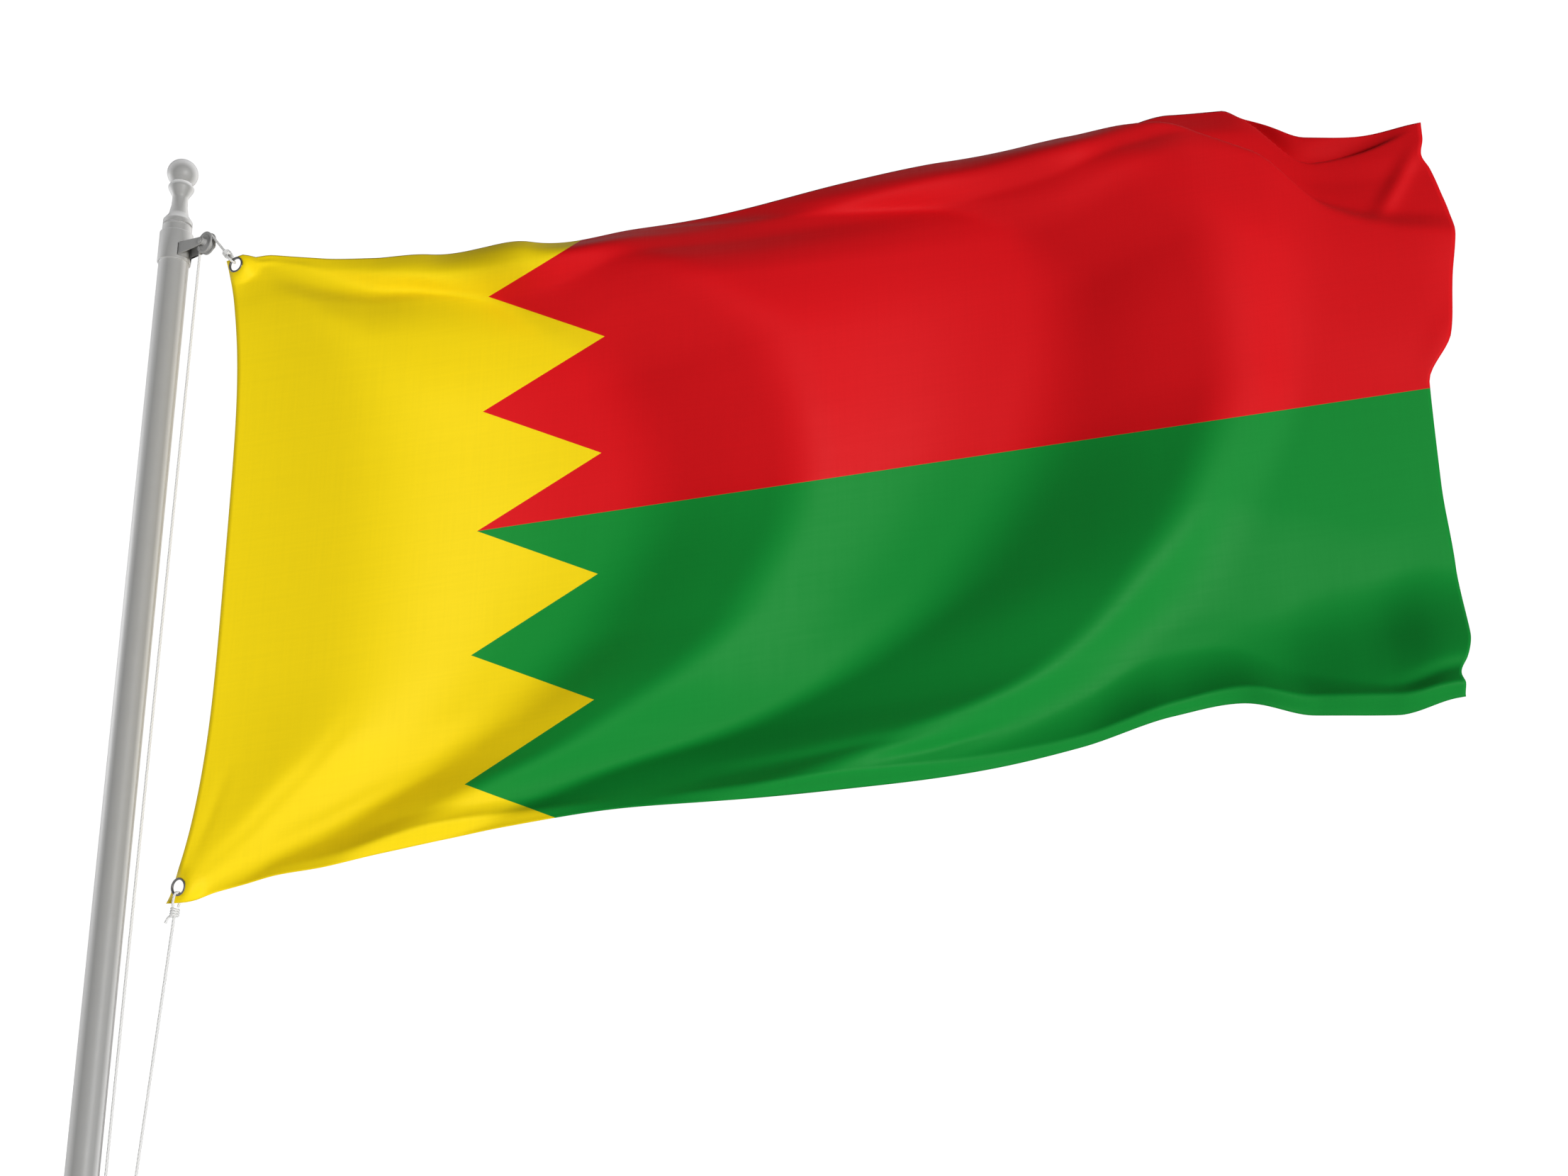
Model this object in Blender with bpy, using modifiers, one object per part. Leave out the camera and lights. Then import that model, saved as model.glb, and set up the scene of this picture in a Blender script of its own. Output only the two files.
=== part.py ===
"""A city flag hoisted at the head of a plain flagpole, in metres, +Z up.

X runs along the flag from the pole to the fly, the flag's face looks along -Y, and the
origin is the centre of the pole's lower end. Each piece is a closed solid of its own.
"""

from math import atan2, cos, hypot, pi, radians, sin

import bmesh
import bpy
import numpy as np
from mathutils import Matrix, Vector

# Clearance between pieces that touch
GAP = 0.0003

# Pole, its head sleeve and its finial
POLE_RADIUS = 0.028
POLE_TOP = 2.126
SLEEVE_RADIUS = 0.031
SLEEVE_BOTTOM = 2.071
SLEEVE_SHOULDER = 2.133
SLEEVE_NECK_RADIUS = 0.0275
SLEEVE_TOP = 2.149
BALL_RADIUS = 0.0292
BALL_CENTRE = 2.263
BALL_NECK_RADIUS = 0.0195
BALL_STEPS = 13
FINIAL_BASE = (  # radius, height above the sleeve, from the ball down
    (0.0225, 0.0870),
    (0.0240, 0.0810),
    (0.0225, 0.0750),
    (0.0165, 0.0660),
    (0.0146, 0.0590),
    (0.0150, 0.0440),
    (0.0180, 0.0290),
    (0.0225, 0.0190),
    (0.0275, 0.0110),
    (0.0275, 0.0),
)

# The upright plane of the rope stands this far round from the flag, towards the front
ROPE_PLANE_ANGLE = radians(36)
OUTWARD = Vector((cos(ROPE_PLANE_ANGLE), -sin(ROPE_PLANE_ANGLE), 0))
SIDEWAYS = Vector((sin(ROPE_PLANE_ANGLE), cos(ROPE_PLANE_ANGLE), 0))
UP = Vector((0, 0, 1))

# Pulley bracket, wheel and pin
PLATE = 0.003
BRACKET_WIDTH = 0.030
WEB_LOW, WEB_HIGH = 2.077, 2.102
WHEEL_REACH, WHEEL_HEIGHT = 0.101, 2.085
EAR_END_RADIUS = 0.012
EAR_STEPS, GROOVE_STEPS = 12, 8
WHEEL_RADIUS = 0.0215
WHEEL_HALF_WIDTH = 0.006
HUB_RADIUS = 0.0065
PIN_RADIUS = 0.003
PIN_HEAD_RADIUS = 0.0055
PIN_HEAD = 0.002

# Halyard and the arm below that holds it
ROPE_RADIUS = 0.0025
ROPE_ROUND_WHEEL = 0.0185
GROOVE_CLEARANCE = 0.0004
ARM_HEIGHT = 0.25
ARM_RADIUS = 0.007
ARM_REACH = 0.172
CLAMP_RADIUS = 0.034
CLAMP_HEIGHT = 0.030
HOIST_RUN_REACH = 0.052
DOWN_RUN_REACH = 0.152
TURNS_ON_ARM = 3.5
POINTS_A_TURN = 12
STEPS_OVER_WHEEL = 12
STEPS_TO_WHEEL, STEPS_DOWN, STEPS_TO_EYELET = 3, 8, 4

# Eyelets, and the knots that tie the halyard to them
EYELET_HOLE = 0.0120
EYELET_BARREL = 0.0128
EYELET_FLANGE = 0.0155
EYELET_PLATE = 0.0008
EYELET_CUT = 0.02
EYELET_TURN = radians(24)
EYELETS = {"upper": Vector((0.161, -0.116, 2.013)), "lower": Vector((0.159, -0.116, 0.869))}
KNOT_DISTANCE = 0.0428
KNOT_HALF_LENGTH = 0.0085
KNOT_HALF_WIDTH = 0.0075
KNOT_HALF_DEPTH = 0.0100
KNOT_SEGMENTS, KNOT_RINGS = 16, 10
ROPE_SIDES, LOOP_SIDES = 10, 8
LOOP_ROUTE = (  # along the pull, out of the cloth
    (0.0330, 0.0062),
    (0.0265, 0.0076),
    (0.0185, 0.0072),
    (0.0127, 0.0060),
    (0.0096, 0.0032),
    (0.0088, 0.0),
)

# Cloth, cut 2.4 m by 1.2 m
FLAT_SIZE = (1.2, 2.4)
CLOTH = 0.0015
CELLS_ALONG, CELLS_UP = 60, 32
HOIST_X, FLY_X = 0.150, 2.430
HOIST_Y, FLY_Y = -0.116, 0.0
HOIST_CORNER_X = 0.140
HOIST_BOW = 0.048
BOW_POWER, HOIST_POWER, FLY_POWER = 3, 4, 8
FLAT_NEAR, FLAT_FAR = 0.042, 0.100
EDGES = (  # x, height of the lower edge, height of the upper edge
    (0.13, 0.853, 2.022),
    (0.22, 0.860, 2.049),
    (0.32, 0.889, 2.051),
    (0.50, 0.927, 2.076),
    (0.70, 0.972, 2.083),
    (0.90, 1.002, 2.142),
    (1.10, 1.016, 2.194),
    (1.30, 1.040, 2.250),
    (1.50, 1.068, 2.297),
    (1.70, 1.113, 2.356),
    (1.86, 1.165, 2.428),
    (1.98, 1.187, 2.476),
    (2.10, 1.164, 2.480),
    (2.24, 1.162, 2.397),
    (2.34, 1.189, 2.386),
    (2.46, 1.205, 2.397),
)
FLY_EDGE = (  # share of the height, x
    (0.00, 2.355),
    (0.03, 2.350),
    (0.06, 2.371),
    (0.10, 2.392),
    (0.20, 2.410),
    (0.35, 2.398),
    (0.52, 2.396),
    (0.60, 2.448),
    (0.70, 2.467),
    (0.81, 2.486),
    (0.87, 2.473),
    (0.91, 2.461),
    (0.94, 2.447),
    (0.97, 2.454),
    (1.00, 2.455),
)
TURN_HEIGHTS = (0.00, 0.12, 0.30, 0.60, 0.86, 1.00)
FOLD_SLOPES = {  # how fast the cloth falls back across each line, at the turn heights
    "hoist edge": (0.05, 0.05, 0.10, 0.12, 0.10, 0.05),
    "dark 0": (0.00, -0.10, -0.06, -0.04, -0.10, -0.05),
    "light 0": (0.15, 0.28, 0.35, 0.40, 0.40, 0.20),
    "shoulder 0": (0.05, 0.18, 0.15, 0.12, 0.25, 0.10),
    "dark A": (-0.12, -0.20, -0.28, -0.29, -0.38, -0.25),
    "dark A end": (-0.12, -0.18, -0.24, -0.22, -0.28, -0.20),
    "light A": (0.15, 0.22, 0.32, 0.45, 0.40, 0.20),
    "shoulder A": (0.10, 0.18, 0.10, 0.10, 0.22, 0.05),
    "dark B": (-0.12, -0.22, -0.34, -0.30, -0.30, -0.20),
    "dark B end": (-0.12, -0.20, -0.26, -0.18, -0.22, -0.20),
    "light B": (0.15, 0.25, 0.42, 0.48, 0.40, 0.10),
    "shoulder B": (0.00, 0.05, 0.10, 0.12, 0.15, -0.15),
    "plateau": (0.00, 0.00, 0.12, 0.12, 0.08, -0.30),
    "fly": (0.25, 0.25, 0.30, 0.40, 0.05, -0.30),
}
FOLD_HEIGHTS = (0.00, 0.06, 0.12, 0.20, 0.30, 0.50, 0.70, 0.82, 0.90, 0.95, 1.00)
FOLD_LINES = {  # x of each line at the fold heights
    "hoist edge": (0.10, 0.10, 0.10, 0.10, 0.10, 0.10, 0.10, 0.10, 0.10, 0.10, 0.10),
    "dark 0": (0.12, 0.19, 0.26, 0.33, 0.36, 0.37, 0.36, 0.33, 0.25, 0.17, 0.12),
    "light 0": (0.16, 0.30, 0.37, 0.50, 0.57, 0.60, 0.57, 0.46, 0.34, 0.25, 0.16),
    "shoulder 0": (0.20, 0.36, 0.50, 0.61, 0.72, 0.84, 0.80, 0.71, 0.60, 0.33, 0.20),
    "dark A": (0.27, 0.47, 0.61, 0.79, 0.92, 1.02, 0.94, 0.79, 0.66, 0.44, 0.28),
    "dark A end": (0.38, 0.56, 0.76, 0.93, 1.05, 1.15, 1.08, 0.95, 0.83, 0.70, 0.50),
    "light A": (0.50, 0.69, 0.88, 1.05, 1.18, 1.29, 1.24, 1.10, 0.96, 0.86, 0.74),
    "shoulder A": (0.56, 0.78, 1.02, 1.24, 1.40, 1.56, 1.62, 1.60, 1.46, 1.12, 0.86),
    "dark B": (0.67, 0.90, 1.17, 1.42, 1.61, 1.76, 1.79, 1.69, 1.53, 1.32, 1.10),
    "dark B end": (1.00, 1.31, 1.58, 1.73, 1.84, 1.94, 1.91, 1.82, 1.71, 1.60, 1.45),
    "light B": (1.20, 1.48, 1.69, 1.86, 1.98, 2.09, 2.09, 2.00, 1.88, 1.79, 1.66),
    "shoulder B": (1.50, 1.72, 1.92, 2.03, 2.08, 2.18, 2.22, 2.16, 2.10, 2.00, 1.90),
    "plateau": (2.20, 2.30, 2.32, 2.34, 2.36, 2.38, 2.38, 2.38, 2.36, 2.34, 2.30),
    "fly": (2.48, 2.50, 2.50, 2.50, 2.50, 2.50, 2.50, 2.54, 2.54, 2.54, 2.54),
}
RIDGES = {  # slope back above the line, softness, x where it starts, is full, fades and ends
    "over the hoist": (1.00, 0.008, 0.18, 0.28, 0.50, 0.70),
    "over the middle": (0.20, 0.020, 0.80, 1.00, 1.50, 1.75),
}
RIDGE_LINES = {  # x, share of the height
    "over the hoist": ((0.20, 0.985), (0.30, 0.976), (0.42, 0.960), (0.53, 0.930), (0.70, 0.88)),
    "over the middle": ((0.80, 0.990), (1.10, 0.955), (1.30, 0.935), (1.50, 0.905), (1.75, 0.86)),
}
HEAD_TURN = (  # x, share of the height above which the cloth goes back, how far
    (1.55, 1.020, 0.000),
    (1.72, 0.988, 0.030),
    (1.85, 0.955, 0.065),
    (1.98, 0.905, 0.085),
    (2.10, 0.865, 0.075),
    (2.22, 0.830, 0.055),
    (2.36, 0.795, 0.030),
    (2.50, 0.775, 0.015),
)
FOOT_TURN = (  # x, share of the height below which the cloth comes forward, how far
    (1.80, 0.050, 0.000),
    (1.92, 0.090, 0.015),
    (2.06, 0.150, 0.050),
    (2.20, 0.205, 0.085),
    (2.33, 0.225, 0.110),
    (2.50, 0.200, 0.125),
)
HEAD_TURN_WIDTH, FOOT_TURN_WIDTH = 0.06, 0.24

# Finishes: colour, roughness, metallic
FINISHES = {
    "pole_finish": ((0.66, 0.66, 0.65), 0.35, 0.3),
    "bracket_finish": ((0.25, 0.25, 0.245), 0.45, 0.6),
    "eyelet_finish": ((0.30, 0.30, 0.30), 0.40, 0.9),
    "rope_finish": ((0.85, 0.85, 0.84), 0.80, 0.0),
    "cloth_finish": ((0.68, 0.01, 0.015), 0.60, 0.0),
}


def clear_scene():
    for obj in list(bpy.data.objects):
        bpy.data.objects.remove(obj, do_unlink=True)


def new_collection(name):
    collection = bpy.data.collections.new(name)
    bpy.context.scene.collection.children.link(collection)
    return collection


def new_material(name, finish):
    colour, roughness, metallic = FINISHES[finish]
    material = bpy.data.materials.new(name)
    material.use_nodes = True
    shader = material.node_tree.nodes["Principled BSDF"]
    shader.inputs["Base Color"].default_value = (*colour, 1)
    shader.inputs["Roughness"].default_value = roughness
    shader.inputs["Metallic"].default_value = metallic
    return material


def place(name, data, collection, finish):
    """A new object of this mesh or curve, with a material of its own."""
    obj = bpy.data.objects.new(name, data)
    collection.objects.link(obj)
    data.materials.append(new_material(name + "_material", finish))
    if obj.type == "MESH":
        data.shade_smooth()
        data.set_sharp_from_angle(angle=radians(35))
    return obj


def mesh_of(bm, name):
    mesh = bpy.data.meshes.new(name)
    bm.to_mesh(mesh)
    bm.free()
    return mesh


def frame_at(point, x_axis, z_axis):
    """The matrix that puts a piece at a point, with its X and Z along these directions."""
    z = z_axis.normalized()
    y = z.cross(x_axis).normalized()
    return Matrix.Translation(point) @ Matrix((y.cross(z), y, z)).transposed().to_4x4()


def turned(name, profile, collection, finish, steps=40, ring=False):
    """A profile of (radius, height), running down its outer side, turned about Z."""
    bm = bmesh.new()
    points = [bm.verts.new((radius, 0, height)) for radius, height in profile]
    for first, second in zip(points, points[1:]):
        bm.edges.new((first, second))
    if ring:
        bm.edges.new((points[-1], points[0]))
    obj = place(name, mesh_of(bm, name), collection, finish)
    screw = obj.modifiers.new("Turn", "SCREW")
    screw.steps = screw.render_steps = steps
    screw.use_merge_vertices = True
    screw.merge_threshold = 0.00001
    screw.use_smooth_shade = True
    return obj


def rope(name, points, collection, sides=ROPE_SIDES):
    """A round rope through these points, with closed ends."""
    curve = bpy.data.curves.new(name, "CURVE")
    curve.dimensions = "3D"
    curve.bevel_depth = ROPE_RADIUS
    curve.bevel_resolution = (sides - 4) // 2
    curve.use_fill_caps = True
    spline = curve.splines.new("POLY")
    spline.points.add(len(points) - 1)
    for place_on, point in zip(spline.points, points):
        place_on.co = (*point, 1)
    return place(name, curve, collection, "rope_finish")


def arc(centre, radius, start, end, steps):
    angles = [start + (end - start) * step / steps for step in range(steps + 1)]
    return [(centre[0] + radius * cos(a), centre[1] + radius * sin(a)) for a in angles]


def cutter_from(bm, name, matrix, collection):
    """A helper solid, kept out of the render."""
    obj = bpy.data.objects.new(name, mesh_of(bm, name))
    obj.matrix_world = matrix
    obj.hide_render = True
    obj.display_type = "WIRE"
    collection.objects.link(obj)
    return obj


def add_boolean(obj, other, operation):
    modifier = obj.modifiers.new(other.name, "BOOLEAN")
    modifier.operation = operation
    modifier.object = other


def smooth_curve(places, values, at):
    """A smooth line through (place, value) pairs that never overshoots them."""
    places, values = np.asarray(places, float), np.asarray(values, float)
    steps = np.diff(places)
    slopes = np.diff(values) / steps
    tangents = np.concatenate([slopes[:1], np.zeros(len(steps) - 1), slopes[-1:]])
    for k in range(1, len(steps)):
        if slopes[k - 1] * slopes[k] > 0:
            tangents[k] = 2 * slopes[k - 1] * slopes[k] / (slopes[k - 1] + slopes[k])
    k = np.clip(np.searchsorted(places, at, side="right") - 1, 0, len(steps) - 1)
    t = np.clip((at - places[k]) / steps[k], 0, 1)
    ends = (2 * t**3 - 3 * t**2 + 1) * values[k] + (3 * t**2 - 2 * t**3) * values[k + 1]
    leaning = (t**3 - 2 * t**2 + t) * tangents[k] + (t**3 - t**2) * tangents[k + 1]
    return ends + steps[k] * leaning


def soft_step(t):
    return t * t * (3 - 2 * t)


def fold_depth(x, share):
    """How far back the folds set the cloth: its slope runs smoothly from line to line."""
    lines = [smooth_curve(FOLD_HEIGHTS, line, share) for line in FOLD_LINES.values()]
    slopes = [smooth_curve(TURN_HEIGHTS, slope, share) for slope in FOLD_SLOPES.values()]
    depth, whole = np.zeros_like(x), np.zeros_like(x)
    for k in range(len(lines) - 1):
        width = lines[k + 1] - lines[k]
        t = np.clip((x - lines[k]) / width, 0, 1)
        depth += width * (slopes[k] * t + (slopes[k + 1] - slopes[k]) * (t**3 - t**4 / 2))
        whole += width * (slopes[k] + slopes[k + 1]) / 2
    return depth - whole * (x - lines[0]) / (lines[-1] - lines[0])


def ridge_depth(x, share):
    """The cloth leaning back above its ridges at the head."""
    depth = np.zeros_like(x)
    for name, (lean, softness, start, full, fade, end) in RIDGES.items():
        line = RIDGE_LINES[name]
        ridge = smooth_curve([point[0] for point in line], [point[1] for point in line], x)
        above = np.maximum(0, share - ridge) * FLAT_SIZE[0]
        here = soft_step(np.clip((x - start) / (full - start), 0, 1))
        here *= soft_step(np.clip((end - x) / (end - fade), 0, 1))
        depth += here * lean * above**2 / (above + softness)
    return depth


def turn_depth(x, share):
    """The head of the fly turning back, and its foot coming forward."""
    depth = np.zeros_like(x)
    for turn, width, side in ((HEAD_TURN, HEAD_TURN_WIDTH, 1), (FOOT_TURN, FOOT_TURN_WIDTH, -1)):
        places = [row[0] for row in turn]
        start, far = (smooth_curve(places, [row[k] for row in turn], x) for k in (1, 2))
        past = side * (share - start) * FLAT_SIZE[0]
        depth += side * far * soft_step(np.clip(past / width, 0, 1))
    return depth


def cloth_surface(along, share):
    """Points of the hanging cloth, for shares of its length and of its height."""
    bow = HOIST_CORNER_X + HOIST_BOW * (1 - np.abs(2 * share - 1) ** BOW_POWER)
    fly = smooth_curve([row[0] for row in FLY_EDGE], [row[1] for row in FLY_EDGE], share)
    x = HOIST_X + along * (FLY_X - HOIST_X)
    x += (bow - HOIST_X) * (1 - along) ** HOIST_POWER + (fly - FLY_X) * along**FLY_POWER
    stations = [row[0] for row in EDGES]
    low = smooth_curve(stations, [row[1] for row in EDGES], x)
    high = smooth_curve(stations, [row[2] for row in EDGES], x)
    z = low + share * (high - low)
    y = HOIST_Y + (FLY_Y - HOIST_Y) * along
    y += fold_depth(x, share) + ridge_depth(x, share) + turn_depth(x, share)
    for centre in EYELETS.values():
        distance = np.hypot(x - centre.x, z - centre.z)
        flat = 1 - soft_step(np.clip((distance - FLAT_NEAR) / (FLAT_FAR - FLAT_NEAR), 0, 1))
        plane = centre.y - (x - centre.x) * np.tan(EYELET_TURN)
        y = y + (plane - y) * flat
    return x, y, z


def eyelet_axis():
    """The direction out of the cloth's face at an eyelet."""
    return Vector((-sin(EYELET_TURN), -cos(EYELET_TURN), 0))


def make_flag(collection, cutters):
    bm = bmesh.new()
    bmesh.ops.create_grid(bm, x_segments=CELLS_ALONG, y_segments=CELLS_UP, size=0.5)
    shares = np.array([vert.co[:2] for vert in bm.verts]) + 0.5
    for vert, point in zip(bm.verts, zip(*cloth_surface(shares[:, 0], shares[:, 1]))):
        vert.co = point
    flag = place("flag_cloth", mesh_of(bm, "flag_cloth"), collection, "cloth_finish")
    thick = flag.modifiers.new("Thickness", "SOLIDIFY")
    thick.thickness = CLOTH
    thick.offset = 0
    for name, centre in EYELETS.items():
        bm = bmesh.new()
        radius = EYELET_BARREL + GAP
        bmesh.ops.create_cone(
            bm, cap_ends=True, segments=32, radius1=radius, radius2=radius, depth=EYELET_CUT
        )
        matrix = frame_at(centre, UP, eyelet_axis())
        cutter = cutter_from(bm, name + "_eyelet_cutter", matrix, cutters)
        add_boolean(flag, cutter, "DIFFERENCE")


def make_eyelet(name, centre, collection):
    inner = CLOTH / 2 + GAP
    outer = inner + EYELET_PLATE
    profile = (
        (EYELET_HOLE, outer),
        (EYELET_FLANGE, outer),
        (EYELET_FLANGE, inner),
        (EYELET_BARREL, inner),
        (EYELET_BARREL, -inner),
        (EYELET_FLANGE, -inner),
        (EYELET_FLANGE, -outer),
        (EYELET_HOLE, -outer),
    )
    eyelet = turned("eyelet_" + name, profile, collection, "eyelet_finish", 32, ring=True)
    eyelet.matrix_world = frame_at(centre, UP, eyelet_axis())


def in_rope_plane(reach, height, aside=0.0):
    return OUTWARD * reach + UP * height + SIDEWAYS * aside


def wheel_tangent():
    """The angle on the wheel at which the rope leaves for the upper eyelet."""
    eyelet = EYELETS["upper"]
    across = eyelet.dot(OUTWARD) - WHEEL_REACH
    above = eyelet.z - WHEEL_HEIGHT
    half = np.arccos(ROPE_ROUND_WHEEL / hypot(across, above))
    return atan2(above, across) + half


def on_wheel(angle):
    return in_rope_plane(
        WHEEL_REACH + ROPE_ROUND_WHEEL * cos(angle), WHEEL_HEIGHT + ROPE_ROUND_WHEEL * sin(angle)
    )


def pulls():
    """The direction in which the halyard pulls each eyelet."""
    round_arm = ARM_RADIUS + GAP + ROPE_RADIUS
    foot = in_rope_plane(DOWN_RUN_REACH, ARM_HEIGHT, -round_arm)
    return {
        "upper": (on_wheel(wheel_tangent()) - EYELETS["upper"]).normalized(),
        "lower": (foot - EYELETS["lower"]).normalized(),
    }


def straight(first, last, steps):
    """Points between two places, without the last."""
    return [first.lerp(last, step / steps) for step in range(steps)]


def make_halyard(collection):
    """One rope: upper knot, over the wheel, down, round the arm and up to the lower knot."""
    away = KNOT_DISTANCE + KNOT_HALF_LENGTH + GAP
    starts = {name: EYELETS[name] + pull * away for name, pull in pulls().items()}
    leave = wheel_tangent()
    share_over = [step / STEPS_OVER_WHEEL for step in range(STEPS_OVER_WHEEL + 1)]
    over = [on_wheel(leave + (pi - leave) * share) for share in share_over]
    round_arm = ARM_RADIUS + GAP + ROPE_RADIUS
    turns = []
    for step in range(int(TURNS_ON_ARM * POINTS_A_TURN) + 1):
        angle = 2 * pi * step / POINTS_A_TURN
        share = step / (TURNS_ON_ARM * POINTS_A_TURN)
        reach = HOIST_RUN_REACH + (DOWN_RUN_REACH - HOIST_RUN_REACH) * share
        height = ARM_HEIGHT - round_arm * sin(angle)
        turns.append(in_rope_plane(reach, height, round_arm * cos(angle)))
    points = straight(starts["upper"], over[0], STEPS_TO_WHEEL) + over[:-1]
    points += straight(over[-1], turns[0], STEPS_DOWN) + turns
    points += straight(turns[-1], starts["lower"], STEPS_TO_EYELET)[1:] + [starts["lower"]]
    rope("halyard", points, collection)


def make_loop_and_knot(name, pull, collection):
    """The rope's end through an eyelet, and the knot that closes it."""
    centre, out = EYELETS[name], eyelet_axis()
    in_cloth = (pull - out * pull.dot(out)).normalized()
    aside = pull - in_cloth * pull.dot(in_cloth)
    loop_end = LOOP_ROUTE[0][0]

    def loop_point(along, height):
        lean = soft_step(max(0, along - EYELET_FLANGE) / (loop_end - EYELET_FLANGE))
        return centre + in_cloth * along + aside * along * lean + out * height

    there = [loop_point(along, height) for along, height in LOOP_ROUTE]
    back = [loop_point(along, -height) for along, height in LOOP_ROUTE[-2::-1]]
    rope(name + "_loop", there + back, collection, sides=LOOP_SIDES)
    bm = bmesh.new()
    bmesh.ops.create_uvsphere(bm, u_segments=KNOT_SEGMENTS, v_segments=KNOT_RINGS, radius=1)
    halves = Vector((KNOT_HALF_DEPTH, KNOT_HALF_WIDTH, KNOT_HALF_LENGTH))
    bmesh.ops.scale(bm, vec=halves, verts=bm.verts)
    knot = place(name + "_knot", mesh_of(bm, name + "_knot"), collection, "rope_finish")
    knot.matrix_world = frame_at(centre + pull * KNOT_DISTANCE, out, pull)


def make_pole(collection):
    bm = bmesh.new()
    bmesh.ops.create_cone(
        bm,
        cap_ends=True,
        segments=48,
        radius1=POLE_RADIUS,
        radius2=POLE_RADIUS,
        depth=POLE_TOP,
        matrix=Matrix.Translation((0, 0, POLE_TOP / 2)),
    )
    place("pole", mesh_of(bm, "pole"), collection, "pole_finish")


def make_head_sleeve(collection):
    bore = POLE_RADIUS + GAP
    profile = (
        (0, SLEEVE_TOP),
        (SLEEVE_NECK_RADIUS, SLEEVE_TOP),
        (SLEEVE_NECK_RADIUS, SLEEVE_SHOULDER),
        (SLEEVE_RADIUS, SLEEVE_SHOULDER),
        (SLEEVE_RADIUS, SLEEVE_BOTTOM),
        (bore, SLEEVE_BOTTOM),
        (bore, POLE_TOP + GAP),
        (0, POLE_TOP + GAP),
    )
    turned("head_sleeve", profile, collection, "pole_finish", 48)


def make_finial(collection):
    foot = SLEEVE_TOP + GAP
    lowest = -np.arccos(BALL_NECK_RADIUS / BALL_RADIUS)
    ball = arc((0, BALL_CENTRE), BALL_RADIUS, pi / 2, lowest, BALL_STEPS)
    ball[0] = (0, BALL_CENTRE + BALL_RADIUS)
    base = [(radius, foot + height) for radius, height in FINIAL_BASE]
    turned("finial", ball + base + [(0, foot)], collection, "pole_finish", 40)


def make_bracket(collection, cutters):
    """A plate bent to a U: a web against the sleeve and an ear on each side of the wheel."""
    web = SLEEVE_RADIUS + GAP + PLATE / 2
    aside = (BRACKET_WIDTH - PLATE) / 2
    ear_end = arc((WHEEL_REACH, WHEEL_HEIGHT), EAR_END_RADIUS, -pi / 2, pi / 2, EAR_STEPS)
    bm = bmesh.new()
    corners = []
    for side in (-aside, aside):
        low, high = (bm.verts.new(in_rope_plane(web, z, side)) for z in (WEB_LOW, WEB_HIGH))
        ear = [bm.verts.new(in_rope_plane(reach, z, side)) for reach, z in ear_end]
        bm.faces.new([low, *ear, high])
        corners += [low, high]
    bm.faces.new((corners[1], corners[3], corners[2], corners[0]))
    bmesh.ops.recalc_face_normals(bm, faces=bm.faces)
    bracket = place("bracket", mesh_of(bm, "bracket"), collection, "bracket_finish")
    thick = bracket.modifiers.new("Thickness", "SOLIDIFY")
    thick.thickness = PLATE
    thick.offset = 0
    thick.use_even_offset = True
    bm = bmesh.new()
    radius = PIN_RADIUS + GAP
    bmesh.ops.create_cone(
        bm, cap_ends=True, segments=20, radius1=radius, radius2=radius, depth=2 * BRACKET_WIDTH
    )
    matrix = frame_at(in_rope_plane(WHEEL_REACH, WHEEL_HEIGHT), UP, SIDEWAYS)
    add_boolean(bracket, cutter_from(bm, "pin_hole", matrix, cutters), "DIFFERENCE")


def make_wheel(collection):
    """The pulley wheel, grooved for the rope, with a hub that keeps it between the ears."""
    bore = PIN_RADIUS + GAP
    half = WHEEL_HALF_WIDTH
    hub_half = BRACKET_WIDTH / 2 - PLATE - GAP
    groove_radius = ROPE_RADIUS + GROOVE_CLEARANCE
    groove = arc((ROPE_ROUND_WHEEL, 0), groove_radius, pi / 2, 3 * pi / 2, GROOVE_STEPS)
    profile = [(bore, hub_half), (HUB_RADIUS, hub_half), (HUB_RADIUS, half)]
    profile += [(WHEEL_RADIUS, half), (WHEEL_RADIUS, groove_radius)]
    profile += groove
    profile += [(WHEEL_RADIUS, -groove_radius), (WHEEL_RADIUS, -half)]
    profile += [(HUB_RADIUS, -half), (HUB_RADIUS, -hub_half), (bore, -hub_half)]
    wheel = turned("pulley_wheel", profile, collection, "bracket_finish", 48, ring=True)
    wheel.matrix_world = frame_at(in_rope_plane(WHEEL_REACH, WHEEL_HEIGHT), UP, SIDEWAYS)


def make_wheel_pin(collection):
    inner = BRACKET_WIDTH / 2 + GAP
    outer = inner + PIN_HEAD
    profile = (
        (0, outer),
        (PIN_HEAD_RADIUS, outer),
        (PIN_HEAD_RADIUS, inner),
        (PIN_RADIUS, inner),
        (PIN_RADIUS, -inner),
        (PIN_HEAD_RADIUS, -inner),
        (PIN_HEAD_RADIUS, -outer),
        (0, -outer),
    )
    pin = turned("wheel_pin", profile, collection, "bracket_finish", 24)
    pin.matrix_world = frame_at(in_rope_plane(WHEEL_REACH, WHEEL_HEIGHT), UP, SIDEWAYS)


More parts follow.
